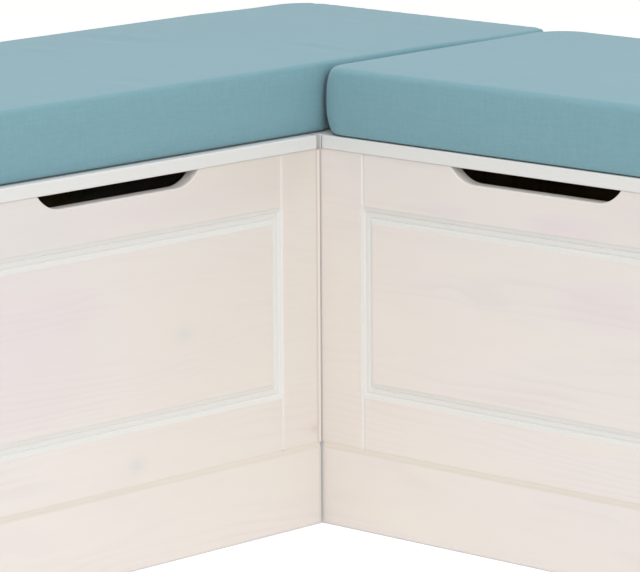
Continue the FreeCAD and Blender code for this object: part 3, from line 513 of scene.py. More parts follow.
        # Painted light: the colour is scaled paler towards the floor, standing in for light bounced
        # up from the pale floor.
        if self.painted_floor_light_gain:
            low, high = (level * MM for level in self.painted_floor_light_mm)
            floor_light = add_node(
                tree,
                "MapRange",
                {"From Min": low, "From Max": high, "To Min": 1 + self.painted_floor_light_gain},
                {0: axes.outputs["Z"]},
            )
            colour = add_node(tree, "VectorMath.SCALE", links={0: colour, "Scale": floor_light})
        spread = add_node(tree, "VectorMath.MULTIPLY", {1: cells(*self.fibre_mm)}, {0: board})
        fibre = add_node(
            tree, "TexNoise", {"Scale": 1.0, "Detail": 2.0, "Roughness": 0.6}, {"Vector": spread}
        )
        relief = add_node(tree, "Math.MULTIPLY_ADD", {1: self.ring_relief}, {0: rings, 2: fibre})
        bump = add_node(
            tree, "Bump", {"Strength": self.bump, "Distance": self.bump_mm * MM}, {"Height": relief}
        )
        rough = add_node(
            tree,
            "MapRange",
            {"To Min": self.roughness - self.smoother, "To Max": self.roughness + self.rougher},
            {0: fibre},
        )
        shader = add_node(
            tree,
            "BsdfPrincipled",
            {"IOR": 1.5, "Specular IOR Level": 0.35},
            {"Base Color": colour, "Roughness": rough, "Normal": bump},
        )
        add_node(tree, "OutputMaterial", links={"Surface": shader})
        return material


@dataclass(frozen=True)
class WhiteLacquer:
    """Opaque white lacquer, rolled on fibreboard and shelf edges: cool white, satin and even."""

    name: str = "white_lacquer"
    colour: str = "#dddddb"
    least_rough: float = 0.34
    most_rough: float = 0.44
    peel_mm: float = 3.0
    bump: float = 0.06
    bump_mm: float = 0.2

    def make(self) -> Material:
        """Makes the finish and gives its material."""
        material, tree = start_material(self.name)
        place = add_node(tree, "TexCoord").outputs["Object"]
        peel = add_node(tree, "TexNoise", {"Scale": 1000 / self.peel_mm}, {"Vector": place})
        bump = add_node(
            tree, "Bump", {"Strength": self.bump, "Distance": self.bump_mm * MM}, {"Height": peel}
        )
        rough = add_node(
            tree, "MapRange", {"To Min": self.least_rough, "To Max": self.most_rough}, {0: peel}
        )
        shader = add_node(
            tree,
            "BsdfPrincipled",
            {"Base Color": linear(self.colour), "IOR": 1.5, "Specular IOR Level": 0.4},
            {"Roughness": rough, "Normal": bump},
        )
        add_node(tree, "OutputMaterial", links={"Surface": shader})
        return material


@dataclass(frozen=True)
class ZincPlate:
    """Bright zinc plating on pressed and turned steel: cool grey, with a soft cloudy shine."""

    name: str = "zinc_plated_steel"
    colour: str = "#c3c6c8"
    least_rough: float = 0.26
    most_rough: float = 0.44
    cloud_mm: float = 6.0

    def make(self) -> Material:
        """Makes the finish and gives its material."""
        material, tree = start_material(self.name)
        place = add_node(tree, "TexCoord").outputs["Object"]
        cloud = add_node(
            tree, "TexNoise", {"Scale": 1000 / self.cloud_mm, "Detail": 3.0}, {"Vector": place}
        )
        rough = add_node(
            tree, "MapRange", {"To Min": self.least_rough, "To Max": self.most_rough}, {0: cloud}
        )
        shader = add_node(
            tree,
            "BsdfPrincipled",
            {"Base Color": linear(self.colour), "Metallic": 1.0},
            {"Roughness": rough},
        )
        add_node(tree, "OutputMaterial", links={"Surface": shader})
        return material


@dataclass(frozen=True)
class Felt:
    """Pressed wool felt pads: matt grey, with a short fuzzy nap."""

    name: str = "grey_felt"
    dark: str = "#5b5754"
    light: str = "#7d7975"
    fibre_mm: float = 0.6
    bump: float = 0.5
    bump_mm: float = 0.4

    def make(self) -> Material:
        """Makes the finish and gives its material."""
        material, tree = start_material(self.name)
        place = add_node(tree, "TexCoord").outputs["Object"]
        nap = add_node(
            tree,
            "TexNoise",
            {"Scale": 1000 / self.fibre_mm, "Detail": 3.0, "Roughness": 0.7},
            {"Vector": place},
        )
        colour = add_node(
            tree,
            "Mix",
            {"data_type": "RGBA", 6: linear(self.dark), 7: linear(self.light)},
            {0: nap},
        ).outputs[2]
        bump = add_node(
            tree, "Bump", {"Strength": self.bump, "Distance": self.bump_mm * MM}, {"Height": nap}
        )
        shader = add_node(
            tree,
            "BsdfPrincipled",
            {"Roughness": 0.95, "Specular IOR Level": 0.2, "Sheen Weight": 0.3},
            {"Base Color": colour, "Normal": bump},
        )
        add_node(tree, "OutputMaterial", links={"Surface": shader})
        return material


@dataclass(frozen=True)
class GlidePlastic:
    """Moulded polyethylene glides: off-white, slightly waxy."""

    name: str = "white_polyethylene"
    colour: str = "#d6d4cc"
    grain_mm: float = 1.1111
    bump: float = 0.1
    bump_mm: float = 0.1

    def make(self) -> Material:
        """Makes the finish and gives its material."""
        material, tree = start_material(self.name)
        place = add_node(tree, "TexCoord").outputs["Object"]
        grain = add_node(tree, "TexNoise", {"Scale": 1000 / self.grain_mm}, {"Vector": place})
        bump = add_node(
            tree, "Bump", {"Strength": self.bump, "Distance": self.bump_mm * MM}, {"Height": grain}
        )
        shader = add_node(
            tree,
            "BsdfPrincipled",
            {"Base Color": linear(self.colour), "Roughness": 0.45, "IOR": 1.51},
            {"Normal": bump},
        )
        add_node(tree, "OutputMaterial", links={"Surface": shader})
        return material


@dataclass(frozen=True)
class CottonCanvas:
    """Dyed plain-weave cotton: matt dusty teal, paler where the eye grazes its fine fuzz.

    The real threads are about 0.45 mm apart, too fine to show, so they are drawn 1.1 mm apart.
    """

    name: str = "teal_cotton_canvas"
    colour: str = "#739ca6"
    worn: str = "#79a1ab"
    fuzz: str = "#e2eaf4"
    thread_mm: float = 1.1
    slub_mm: float = 2.4
    slub_long_mm: float = 30.0
    tone: Pair = (1.1, 1.9)
    weave_relief: float = 0.25
    bump: float = 0.25
    bump_mm: float = 0.25

    def make(self) -> Material:
        """Makes the finish and gives its material."""
        material, tree = start_material(self.name)
        place = add_node(tree, "TexCoord").outputs["Object"]
        turns = add_node(
            tree, "VectorMath.SCALE", {"Scale": 2 * math.pi * 1000 / self.thread_mm}, {0: place}
        )
        waves = add_node(tree, "VectorMath.SINE", links={0: turns})
        weave = add_node(
            tree, "VectorMath.DOT_PRODUCT", {1: (1, 1, 1)}, {0: waves}
        ).outputs["Value"]
        slubs = []
        along, across = 1000 / self.slub_long_mm, 1000 / self.slub_mm
        for scale in ((along, across, across), (across, along, across), (across, across, along)):
            pulled = add_node(tree, "VectorMath.MULTIPLY", {1: scale}, {0: place})
            slub = add_node(tree, "TexNoise", {"Scale": 1.0, "Detail": 1.0}, {"Vector": pulled})
            slubs.append(slub)
        pair = add_node(tree, "Math.ADD", links={0: slubs[0], 1: slubs[1]})
        threads = add_node(tree, "Math.ADD", links={0: pair, 1: slubs[2]})
        begun, full = self.tone
        tone = add_node(tree, "MapRange", {"From Min": begun, "From Max": full}, {0: threads})
        colour = add_node(
            tree,
            "Mix",
            {"data_type": "RGBA", 6: linear(self.colour), 7: linear(self.worn)},
            {0: tone},
        ).outputs[2]
        relief = add_node(tree, "Math.MULTIPLY_ADD", {1: self.weave_relief}, {0: weave, 2: threads})
        bump = add_node(
            tree, "Bump", {"Strength": self.bump, "Distance": self.bump_mm * MM}, {"Height": relief}
        )
        shader = add_node(
            tree,
            "BsdfPrincipled",
            {
                "Roughness": 0.9,
                "Specular IOR Level": 0.25,
                "Sheen Weight": 0.35,
                "Sheen Roughness": 0.5,
                "Sheen Tint": linear(self.fuzz),
            },
            {"Base Color": colour, "Normal": bump},
        )
        add_node(tree, "OutputMaterial", links={"Surface": shader})
        return material


# Sub-assemblies


@dataclass(frozen=True)
class Crease:
    """A faint tension fold across a cushion's top, in metres of the frame."""

    x: float
    y_from: float
    y_to: float
    width: float
    height: float


@dataclass(frozen=True)
class Dent:
    """A hollow in a cushion's side where its neighbour's corner pushes in, in metres."""

    x: float
    width: float
    depth: float
    lean: float = 9 * MM
    clear: float = 14 * MM


@dataclass(frozen=True)
class Blank:
    """The block that a cover is cut to: its middle and half sizes along and across the leg.

    Its columns and rows are where the grid's points stand, with 0 in the middle.
    """

    middle: Vector
    half: Vector
    columns: np.ndarray
    rows: np.ndarray

    def rim(self) -> list[tuple[int, int]]:
        """Goes once round the grid's outline.

        Returns:
            Column and row of each point on the way.
        """
        last_column, last_row = len(self.columns) - 1, len(self.rows) - 1
        rim = [(i, 0) for i in range(last_column)]
        rim += [(last_column, j) for j in range(last_row)]
        rim += [(i, last_row) for i in range(last_column, 0, -1)]
        rim += [(0, j) for j in range(last_row, 0, -1)]
        return rim


@dataclass
class Cushion:
    """A foam block in a sewn cotton cover that lies loose on one lid."""

    leg: Leg
    fabric: Material
    corner: float = 18 * MM
    back_corner: float = 45 * MM
    edge: float = 4.5 * MM
    foot_in: float = 10 * MM
    foot_up: float = 3.8 * MM
    cut_side: float = 1 * MM
    cut_top: float = 1.5 * MM
    slump: float = -0.5 * MM
    droop: float = 0.0
    droop_from: float = 0.20
    droop_over: float = 0.12
    end_belly: float = 2 * MM
    side_belly: float = 2 * MM
    pitch: float = 6 * MM
    edge_rows: int = 5
    waist_rows: int = 9
    swell: float = 3.5 * MM
    reach: float = 8 * MM
    hold: float = 0.75
    held_foot: float = 1 * MM
    level_from: float = 0.99
    pressure: float = 1.0
    mass: float = 0.3
    quality: int = 6
    steps: int = 20
    seam_in: float = 8 * MM
    seam_rows: tuple[float, ...] = (-3.2 * MM, -1.3 * MM, 0.0, 1.3 * MM, 3.2 * MM)
    row_gap: float = 1.6 * MM
    seam_depth: float = 0.9 * MM
    seam_width: float = 1.1 * MM
    lip: float = 0.35 * MM
    lip_away: float = 3.0 * MM
    lip_width: float = 1.6 * MM
    pucker: float = 0.45 * MM
    pucker_reach: float = 6 * MM
    beats: Pair = (2.3 * MM, 7.9 * MM)
    beat_shift: float = 1.3
    tuck: float = 2.2
    tuck_reach: float = 14 * MM
    creases: tuple[Crease, ...] = ()
    dents: tuple[Dent, ...] = ()
    cover: Object = field(init=False)

    @property
    def name(self) -> str:
        """The piece's name."""
        return f"seat_cushion_{self.leg.value}"

    def stations(self, half: float, seams: bool) -> np.ndarray:
        """Spaces the rows of points along one side, closer together at the seams.

        Args:
            half: Half the side's length.
            seams: Whether an end seam crosses this side.

        Returns:
            The places from one end to the other, with 0 in the middle.
        """
        count = round(2 * half / self.pitch)
        places = list(np.linspace(-half, half, count + 1))
        if seams:
            near = [half - self.seam_in + step for step in self.seam_rows]
            places = [
                place for place in places if min(abs(abs(place) - x) for x in near) > self.row_gap
            ]
            places += near + [-place for place in near]
        return np.array(sorted(places))

    def blank(self) -> Blank:
        """Measures the CAD cover and lays the grid over it.

        Returns:
            The block, cut a little smaller than the CAD cover.
        """
        low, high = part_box(f"cushion_cover_{self.leg.value}")
        high.z -= self.cut_top
        middle = (low + high) / 2
        half = (high - low) / 2 - Vector((self.cut_side, self.cut_side, 0))
        if self.leg is Leg.B:
            middle, half = middle.yxz, half.yxz
        columns = self.stations(half.x, seams=True)
        return Blank(middle, half, columns, self.stations(half.y, seams=False))

    def sheet(
        self, blank: Blank, spots: list[tuple[int, int]], inset: float, height: float
    ) -> np.ndarray:
        """Places grid points on a rounded rectangle.

        Args:
            blank: The block with its grid.
            spots: Column and row of each point.
            inset: How far the outline is pulled in at this height.
            height: The height above the middle.

        Returns:
            The points in the frame.
        """
        pick = np.array(spots)
        half = blank.half
        belly = abs(height / half.z) ** 3
        reach_along = half.x - inset - self.end_belly * belly
        reach_across = half.y - inset - self.side_belly * belly
        along = blank.columns[pick[:, 0]] * reach_along / half.x
        across = blank.rows[pick[:, 1]] * reach_across / half.y
        radius = np.where(across > 0, self.back_corner, self.corner) - inset
        past_along = np.abs(along) - (reach_along - radius)
        past_across = np.abs(across) - (reach_across - radius)
        both = (past_along > 0) & (past_across > 0)
        reach = np.maximum(np.hypot(past_along, past_across), TINY)
        share = np.where(both, np.maximum(past_along, past_across) / reach, 1)
        round_along = np.sign(along) * (reach_along - radius + past_along * share)
        round_across = np.sign(across) * (reach_across - radius + past_across * share)
        along = np.where(both, round_along, along)
        across = np.where(both, round_across, across)
        lean = (height + half.z) / (2 * half.z) * across / half.y
        end = np.clip((along - half.x + self.droop_from) / self.droop_over, 0, 1)
        fall = self.droop * (height + half.z) / (2 * half.z) * end * end * (3 - 2 * end)
        level = blank.middle.z + height + lean * self.slump / 2 - fall
        return self.leg.place(blank.middle.x + along, blank.middle.y + across, level)

    def levels(self, half_height: float) -> list[Pair]:
        """Lists the rings of points from the foot to the top edge.

        Args:
            half_height: Half the cover's height.

        Returns:
            How far each ring is pulled in, and its height above the middle.
        """
        turns = np.linspace(0, math.pi / 2, self.edge_rows)[1:]
        low, high = -half_height, half_height
        waist = np.linspace(low + self.foot_up, high - self.edge, self.waist_rows)[1:]
        levels = [
            (self.foot_in * (1 - math.sin(turn)), low + self.foot_up * (1 - math.cos(turn)))
            for turn in turns
        ]
        levels += [(0.0, height) for height in waist]
        levels += [
            (self.edge * (1 - math.cos(turn)), high - self.edge * (1 - math.sin(turn)))
            for turn in turns[:-1]
        ]
        return levels

    def cut_cover(self) -> Mesh:
        """Makes the cover as it is cut and sewn, before the foam fills it out.

        Returns:
            A closed mesh in the frame.
        """
        blank = self.blank()
        half_height = blank.half.z
        spots = [(i, j) for i in range(len(blank.columns)) for j in range(len(blank.rows))]
        rim, levels = blank.rim(), self.levels(half_height)
        points = [
            self.sheet(blank, spots, self.foot_in, -half_height),
            self.sheet(blank, spots, self.edge, half_height),
        ]
        points += [self.sheet(blank, rim, inset, height) for inset, height in levels]
        number = {spot: index for index, spot in enumerate(spots)}
        total = len(spots)
        faces = []
        for i, j in spots:
            if (i + 1, j + 1) in number:
                square = [number[i, j], number[i + 1, j], number[i + 1, j + 1], number[i, j + 1]]
                faces.append(square[::-1])
                faces.append([total + corner for corner in square])
        loops = [[number[spot] for spot in rim]]
        for step in range(len(levels)):
            start = 2 * total + step * len(rim)
            loops.append(list(range(start, start + len(rim))))
        loops.append([total + number[spot] for spot in rim])
        for under, over in zip(loops, loops[1:]):
            for place in range(len(rim)):
                after = (place + 1) % len(rim)
                faces.append([under[place], under[after], over[after], over[place]])
        mesh = bpy.data.meshes.new(self.name)
        mesh.from_pydata(np.concatenate(points).tolist(), [], faces)
        work = bmesh.new()
        work.from_mesh(mesh)
        bmesh.ops.recalc_face_normals(work, faces=work.faces)
        work.to_mesh(mesh)
        work.free()
        return mesh

    def hold_edges(self) -> None:
        """Marks the bottom and the sewn edges, which the foam block holds where they are."""
        points = self.points()
        low, high = points.min(axis=0), points.max(axis=0)
        from_side = np.minimum(points[:, :2] - low[:2], high[:2] - points[:, :2]).min(axis=1)
        under = points[:, 2] < low[2] + self.held_foot
        above = points[:, 2] > high[2] - self.edge - self.slump
        rim = above & (from_side < self.end_belly + self.edge)
        top = self.normals()[:, 2] > self.level_from
        held = self.cover.vertex_groups.new(name="held")
        held.add(np.flatnonzero(under).tolist(), 1.0, "REPLACE")
        held.add(np.flatnonzero(rim & ~top & ~under).tolist(), self.hold, "REPLACE")

    def fill(self) -> None:
        """Lets pressure swell the cover, then keeps each point near where it was cut."""
        rest = self.points()
        self.hold_edges()
        cloth = self.cover.modifiers.new("fill", "CLOTH")
        cloth.settings.quality = self.quality
        cloth.settings.mass = self.mass
        cloth.settings.use_pressure = True
        cloth.settings.uniform_pressure_force = self.pressure
        cloth.settings.effector_weights.gravity = 0
        cloth.settings.vertex_group_mass = "held"
        cloth.collision_settings.use_collision = False
        scene = bpy.context.scene
        for number in range(1, self.steps + 1):
            scene.frame_set(number)
        graph = bpy.context.evaluated_depsgraph_get()
        filled = self.cover.evaluated_get(graph).to_mesh()
        moved = np.empty(len(rest) * 3)
        filled.vertices.foreach_get("co", moved)
        self.cover.evaluated_get(graph).to_mesh_clear()
        self.cover.modifiers.remove(cloth)
        scene.frame_set(1)
        step = moved.reshape(-1, 3) - rest
        length = np.linalg.norm(step, axis=1, keepdims=True)
        log.info("%s: cloth moved %.1f mm at most", self.name, length.max() / MM)
        capped = self.swell * np.tanh(length / self.reach)
        self.set_points(rest + step * capped / (length + TINY))

    def points(self) -> np.ndarray:
        """Gives the cover's points, one row each."""
        flat = np.empty(len(self.cover.data.vertices) * 3)
        self.cover.data.vertices.foreach_get("co", flat)
        return flat.reshape(-1, 3)

    def normals(self) -> np.ndarray:
        """Gives the cover's outward directions, one row each."""
        flat = np.empty(len(self.cover.data.vertices) * 3)
        self.cover.data.vertices.foreach_get("normal", flat)
        return flat.reshape(-1, 3)

    def set_points(self, points: np.ndarray) -> None:
        """Moves the cover's points.

        Args:
            points: One row for each point.
        """
        self.cover.data.vertices.foreach_set("co", points.ravel())
        self.cover.data.update()

    def sew(self, rest: np.ndarray) -> None:
        """Presses in the end seams, with small puckers on both sides of them.

        Args:
            rest: The points as they were cut, which tell how far each is from a seam.
        """
        axis = 0 if self.leg is Leg.A else 1
        low, high = rest[:, axis].min(), rest[:, axis].max()
        points = self.points()
        from_end = np.minimum(rest[:, axis] - low, high - rest[:, axis])
        away = from_end - self.seam_in
        groove = -self.seam_depth * np.exp(-((away / self.seam_width) ** 2))
        lip = self.lip * np.exp(-(((away - self.lip_away) / self.lip_width) ** 2))
        girth = rest[:, 1 - axis] + rest[:, 2]
        short, long = self.beats
        beat = np.sin(girth / short) * np.sin(girth / long + self.beat_shift)
        top, front = rest[:, 2].max(), rest[:, 1 - axis].min()
        from_edge = np.hypot(rest[:, 2] - top, rest[:, 1 - axis] - front)
        stronger = 1 + self.tuck * np.exp(-from_edge / self.tuck_reach)
        fold = self.pucker * beat * stronger * np.exp(-np.abs(away) / self.pucker_reach)
        self.set_points(points + self.normals() * (groove + lip + fold)[:, None])

    def crease(self) -> None:
        """Raises the faint folds that tension leaves across the top."""
        points = self.points()
        up = np.clip(self.normals()[:, 2], 0, 1)
        for fold in self.creases:
            side = (points[:, 0] - fold.x) / fold.width
            run = (points[:, 1] - fold.y_from) / (fold.y_to - fold.y_from)
            window = np.sin(math.pi * np.clip(run, 0, 1)) ** 2
            points[:, 2] += up * fold.height * np.exp(-(side**2)) * window
        self.set_points(points)

    def dent(self) -> None:
        """Presses in a side where the corner of the other cushion pushes into it."""
        points = self.points()
        facing = np.clip(-self.normals()[:, 1], 0, 1)
        low, high = points[:, 2].min(), points[:, 2].max()
        share = np.abs(2 * (points[:, 2] - low) / (high - low) - 1)
        for dent in self.dents:
            under = np.clip((high - dent.clear - points[:, 2]) / dent.clear, 0, 1)
            line = dent.x + dent.lean * share**3
            reach = np.exp(-(((points[:, 0] - line) / dent.width) ** 2))
            points[:, 1] += facing * under * dent.depth * reach
        self.set_points(points)

    def rest_on_lid(self) -> None:
        """Flattens the cushion where it lies, and keeps it clear of its neighbour."""
        low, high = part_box(f"cushion_cover_{self.leg.value}")
        points = self.points()
        points[:, 2] = np.maximum(points[:, 2], low.z)
        if self.leg is Leg.A:
            points[:, 1] = np.maximum(points[:, 1], low.y)
        else:
            points[:, 1] = np.minimum(points[:, 1], high.y)
        self.set_points(points)

    def build(self) -> None:
        """Builds the cushion and puts it in place of its CAD solids."""
        self.cover = bpy.data.objects.new(self.name, self.cut_cover())
        bpy.context.scene.collection.objects.link(self.cover)
        rest = self.points()
        self.fill()
        self.rest_on_lid()
        self.sew(rest)
        self.crease()
        self.dent()
        self.rest_on_lid()
        self.cover.data.polygons.foreach_set("use_smooth", [True] * len(self.cover.data.polygons))
        finer = self.cover.modifiers.new("finer", "SUBSURF")
        finer.levels = finer.render_levels = 1
        self.cover.data.materials.append(self.fabric)
        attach(self.cover, f"cushion_{self.leg.value}")
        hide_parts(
            f"cushion_cover_{self.leg.value}", f"cushion_foam_{self.leg.value}"
        )
        log.info("%s: %d faces", self.name, len(self.cover.data.polygons))


@dataclass
class Chest:
    """One leg of the bench: a storage chest with a hinged lid."""

    leg: Leg
    front: Pine
    bare: Pine
    lacquer: Material
    steel: Material
    felt: Material

    def dress(self) -> None:
        """Gives each board and fitting its finish."""
        axis = "X" if self.leg is Leg.A else "Y"
        along, flat, upright = (Grain[f"{way}_{axis}"] for way in ("ALONG", "FLAT", "UPRIGHT"))
        washed_end = replace(self.front, figures=()).make(upright)
        bare_end = self.bare.make(upright)
        finishes = {
            self.front.make(along): ["front_board", "plinth_board"],
            washed_end: ["outer_end_panel"],
            self.lacquer: ["lid"],
            self.bare.make(along): ["back_panel", "front_cleat", "back_cleat", "dowels"],
            self.bare.make(flat): ["bottom_panel", "lid_battens"],
            bare_end: ["end_cleats"],
            self.steel: [
                "hinge_fixed_leaves", "hinge_lid_leaves", "hinge_pins", "stay_arm", "stay_guide",
                "fitting_screws", "lid_screws", "batten_screws", "panel_screws",
            ],
            self.felt: ["lid_bumpers"],
        }
        # Only leg A's inner end shows beside its front, so only that one is washed.
        inner = washed_end if self.leg is Leg.A else bare_end
        finishes[inner].append("inner_end_panel")
        finish_nodes(f"chest_{self.leg.value}", finishes, f"_{self.leg.value}")


@dataclass
class CornerUnit:
    """The fixed post between the legs, with its backs, top and fastenings."""

    washed: Material
    bare: Material
    lacquer: Material
    steel: Material
    plastic: Material

    def dress(self) -> None:
        """Gives each board and fitting its finish."""
        finishes = {
            self.washed: ["corner_panel_a"],
            self.bare: ["corner_panel_b", "corner_back_a", "corner_back_b", "corner_cleats"],
            self.lacquer: ["corner_top"],
            self.steel: ["corner_screws", "corner_panel_screws", "module_bolts", "sleeve_nuts"],
            self.plastic: ["floor_glides"],
        }
        finish_nodes("corner unit", finishes)


@dataclass(frozen=True)
class Lamp:
    """A square soft box: where it hangs, the point that it faces, its side and its watts."""

    name: str
    place: Triple
    aim: Triple
    size: float
    power: float

    def hang(self) -> None:
        """Adds the lamp to the scene."""
        data = bpy.data.lights.new(self.name, "AREA")
        data.shape = "SQUARE"
        data.size = self.size
        data.energy = self.power
        lamp = bpy.data.objects.new(self.name, data)
        bpy.context.scene.collection.objects.link(lamp)
        lamp.location = self.place
        lamp.rotation_mode = "QUATERNION"
        towards = Vector(self.aim) - Vector(self.place)
        lamp.rotation_quaternion = towards.to_track_quat("-Z", "Y")
        log.info("%s: hung", self.name)


@dataclass
class Studio:
    """A pale floor, soft lamps and the camera."""

    position: Triple = (-3.4987, -3.2854, 1.2023)
    azimuth: float = 46.73
    down: float = 10.75
    roll: float = -0.35
    lens_mm: float = 260.9
    sensor_mm: float = 36.0
    nearest: float = 0.1
    furthest: float = 100.0
    sky: float = 0.62
    floor: str = "#f1f0ee"
    floor_glow: float = 0.40
    floor_size: float = 30.0
    lamps: tuple[Lamp, ...] = (
        Lamp("key_lamp", (-2.5, -3.2, 2.5), (0, 0, 0.3), 2.6, 75),
        Lamp("top_lamp", (-0.5, -0.55, 3.5), (0, 0, 0.4), 2.4, 38),
    )

    def set_camera(self) -> None:
        """Puts the camera where the photographer stood."""
        azimuth, down, roll = (math.radians(x) for x in (self.azimuth, self.down, self.roll))
        level = math.cos(down)
        forward = Vector((math.sin(azimuth) * level, math.cos(azimuth) * level, -math.sin(down)))
        side = Vector((math.cos(azimuth), -math.sin(azimuth), 0))
        above = side.cross(forward)
        right = math.cos(roll) * side + math.sin(roll) * above
        up = -math.sin(roll) * side + math.cos(roll) * above
        turn = Matrix((right, up, -forward)).transposed().to_4x4()
        data = bpy.data.cameras.new("camera")
        data.sensor_fit = "HORIZONTAL"
        data.sensor_width = self.sensor_mm
        data.lens = self.lens_mm
        data.clip_start, data.clip_end = self.nearest, self.furthest
        camera = bpy.data.objects.new("camera", data)
        bpy.context.scene.collection.objects.link(camera)
        camera.matrix_world = Matrix.Translation(self.position) @ turn
        bpy.context.scene.camera = camera

    def plain_rays(self, tree: NodeTree) -> Node:
        """Gives 1 for rays from the camera, off metal or through glass, and 0 for light.

        Args:
            tree: The tree that asks.

        Returns:
            The node that says it.
        """
        path = add_node(tree, "LightPath").outputs
        seen = add_node(
            tree, "Math.MAXIMUM", links={0: path["Is Camera Ray"], 1: path["Is Glossy Ray"]}
        )
        return add_node(tree, "Math.MAXIMUM", links={0: seen, 1: path["Is Transmission Ray"]})

    def set_sky(self) -> None:
        """Lights the room evenly, and shows white behind the bench."""
        world = bpy.data.worlds.new("studio")
        world.use_nodes = True
        tree = world.node_tree
        tree.nodes.clear()
        light = add_node(tree, "Background", {"Color": linear("#ffffff"), "Strength": self.sky})
        white = add_node(tree, "Background", {"Color": linear("#ffffff"), "Strength": 1.0})
        mix = add_node(tree, "MixShader", links={0: self.plain_rays(tree), 1: light, 2: white})
        add_node(tree, "OutputWorld", links={"Surface": mix})
        bpy.context.scene.world = world

    def lay_floor(self) -> None:
        """Lays a pale floor that keeps the bench's shadow."""
        material, tree = start_material("pale_floor")
        glow = add_node(tree, "Math.MULTIPLY", {1: self.floor_glow}, {0: self.plain_rays(tree)})
        paint = add_node(
            tree,
            "BsdfPrincipled",
            {"Base Color": linear(self.floor), "Roughness": 0.9, "Specular IOR Level": 0.1},
        )
        shine = add_node(tree, "Emission", {"Color": linear("#ffffff")}, {"Strength": glow})
        both = add_node(tree, "AddShader", links={0: paint, 1: shine})
        add_node(tree, "OutputMaterial", links={"Surface": both})
        half = self.floor_size / 2
        mesh = bpy.data.meshes.new("studio_floor")
        corners = [(-half, -half, 0), (half, -half, 0), (half, half, 0), (-half, half, 0)]
        mesh.from_pydata(corners, [], [(0, 1, 2, 3)])
        mesh.materials.append(material)
        floor = bpy.data.objects.new("studio_floor", mesh)
        bpy.context.scene.collection.objects.link(floor)

    def build(self) -> None:
        """Sets up the whole studio."""
        bpy.context.scene.view_settings.view_transform = "Standard"
        self.set_camera()
        self.set_sky()
        self.lay_floor()
        for lamp in self.lamps:
            lamp.hang()
        log.info("studio: camera, floor and lamps set")


# Spots and folds of this bench


FRONT_FACE = 103 * MM
GREY_KNOT, PINK, LILAC = "#bcc7c8", "#ddcdca", "#dacfd6"

# Two grey knots in pink rings and an eye, then broad tints, the last two of them painted shade, and
# last a thin painted shadow line.
FIGURES_A: tuple[Figure, ...] = (
    Figure(-0.108, 0.242, 55, 26, 5, PINK, 0.15),
    Figure(-0.108, 0.242, 22, 17, 4, GREY_KNOT, 0.32),
    Figure(-0.181, 0.113, 50, 24, 5, PINK, 0.12),
    Figure(-0.181, 0.113, 22, 16, 4, GREY_KNOT, 0.33),
    Figure(0.087, 0.110, 22, 12, 3, PINK, 0.45),
    Figure(0.092, 0.107, 10, 8, 3, "#b5aca3", 0.30),
    Figure(-0.340, 0.270, 230, 140, 0, LILAC, 0.50),
    Figure(-0.130, 0.380, 260, 40, 0, LILAC, 0.50),
    Figure(-0.340, 0.380, 180, 70, 0, "#d3d1d2", 0.45),
    # Painted shade darkening the front towards the inner corner, where the other leg keeps light
    # off.
    Figure(0.020, 0.250, 420, 420, 0, "#d7d1c6", 0.42),
    # Painted shade along the top rail under the lid, near the inner corner.
    Figure(0.070, 0.400, 300, 60, 0, "#d4cabd", 0.35),
    # Painted shadow line where the front board's end meets the corner strip, standing in for the
    # shade of a gap.
    Figure(0.0962, 0.250, 2.4, 900, 0, "#c0b6aa", 0.50),
)

# Eyes and waves in the grain, most of them faintly tinted, and a warm patch beside the corner.
FIGURES_B: tuple[Figure, ...] = (
    Figure(-0.134, 0.281, 55, 22, 11, "#d3cdcc", 0.28),
    Figure(-0.110, 0.262, 120, 34, -4),
    Figure(-0.298, 0.295, 110, 45, 6, LILAC, 0.38),
    Figure(-0.360, 0.385, 200, 60, 0, "#d6cecf", 0.40),
    Figure(-0.235, 0.366, 90, 24, 9, LILAC, 0.40),
    Figure(-0.085, 0.368, 70, 14, 4, LILAC, 0.35),
    Figure(0.080, 0.150, 200, 400, 0, "#e3dacc", 0.22),
)

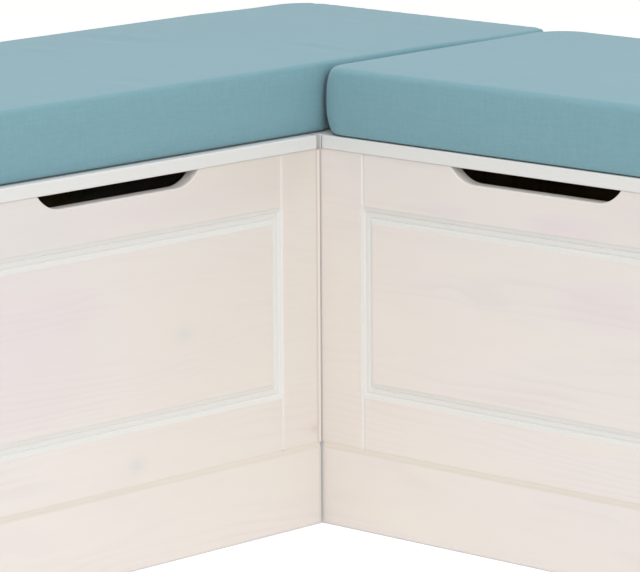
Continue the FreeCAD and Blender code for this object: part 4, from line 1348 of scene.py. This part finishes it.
FOLDS_A: tuple[Crease, ...] = (
    Crease(0.083, 0.285, 0.505, 0.019, -1.6 * MM),
    Crease(0.112, 0.300, 0.500, 0.012, 0.6 * MM),
    Crease(-0.030, 0.330, 0.460, 0.014, 0.9 * MM),
    Crease(-0.130, 0.105, 0.200, 0.010, -0.7 * MM),
    Crease(0.200, 0.110, 0.250, 0.012, 0.8 * MM),
    Crease(0.184, 0.110, 0.250, 0.014, -0.9 * MM),
    Crease(0.368, 0.240, 0.350, 0.014, 0.4 * MM),
)
DENT_A = Dent(x=0.1255, width=7 * MM, depth=12 * MM)


def main() -> None:
    """Sets the studio, then dresses the bench piece by piece and lays on its cushions."""
    logging.basicConfig(level=logging.INFO, format="%(name)s: %(message)s")
    Studio().build()
    washed = Pine(
        name="whitewashed_pine", early="#e2dcd6", late="#d2c8c6", cloud="#dfd7d7",
        strength=0.22, roughness=0.46, routed="#deddda", plinth_edge_band="#d5cdc3", painted_floor_light_gain=0.05,
    )
    front_a = replace(
        washed, name="whitewashed_pine_a", surface=FRONT_FACE, seed=1.0, figures=FIGURES_A
    )
    front_b = replace(
        washed, name="whitewashed_pine_b", surface=FRONT_FACE, seed=6.0, figures=FIGURES_B
    )
    bare = Pine(
        name="bare_pine", early="#dcc199", late="#c49a63", cloud="#d4b68c",
        strength=0.62, roughness=0.6, scatter=1.6, waver=0.7,
    )
    lacquer = WhiteLacquer().make()
    steel = ZincPlate().make()
    felt = Felt().make()
    plastic = GlidePlastic().make()
    fabric = CottonCanvas().make()
    Chest(Leg.A, front_a, bare, lacquer, steel, felt).dress()
    Chest(Leg.B, front_b, bare, lacquer, steel, felt).dress()
    CornerUnit(
        washed.make(Grain.UPRIGHT_Y), bare.make(Grain.UPRIGHT_X), lacquer, steel, plastic
    ).dress()
    Cushion(Leg.A, fabric, droop=1.7 * MM, creases=FOLDS_A, dents=(DENT_A,)).build()
    Cushion(
        Leg.B, fabric, corner=27 * MM, edge=7 * MM, foot_up=3.2 * MM,
        cut_top=2.6 * MM, slump=2.5 * MM, end_belly=8 * MM,
    ).build()


if __name__ == "__main__":
    main()
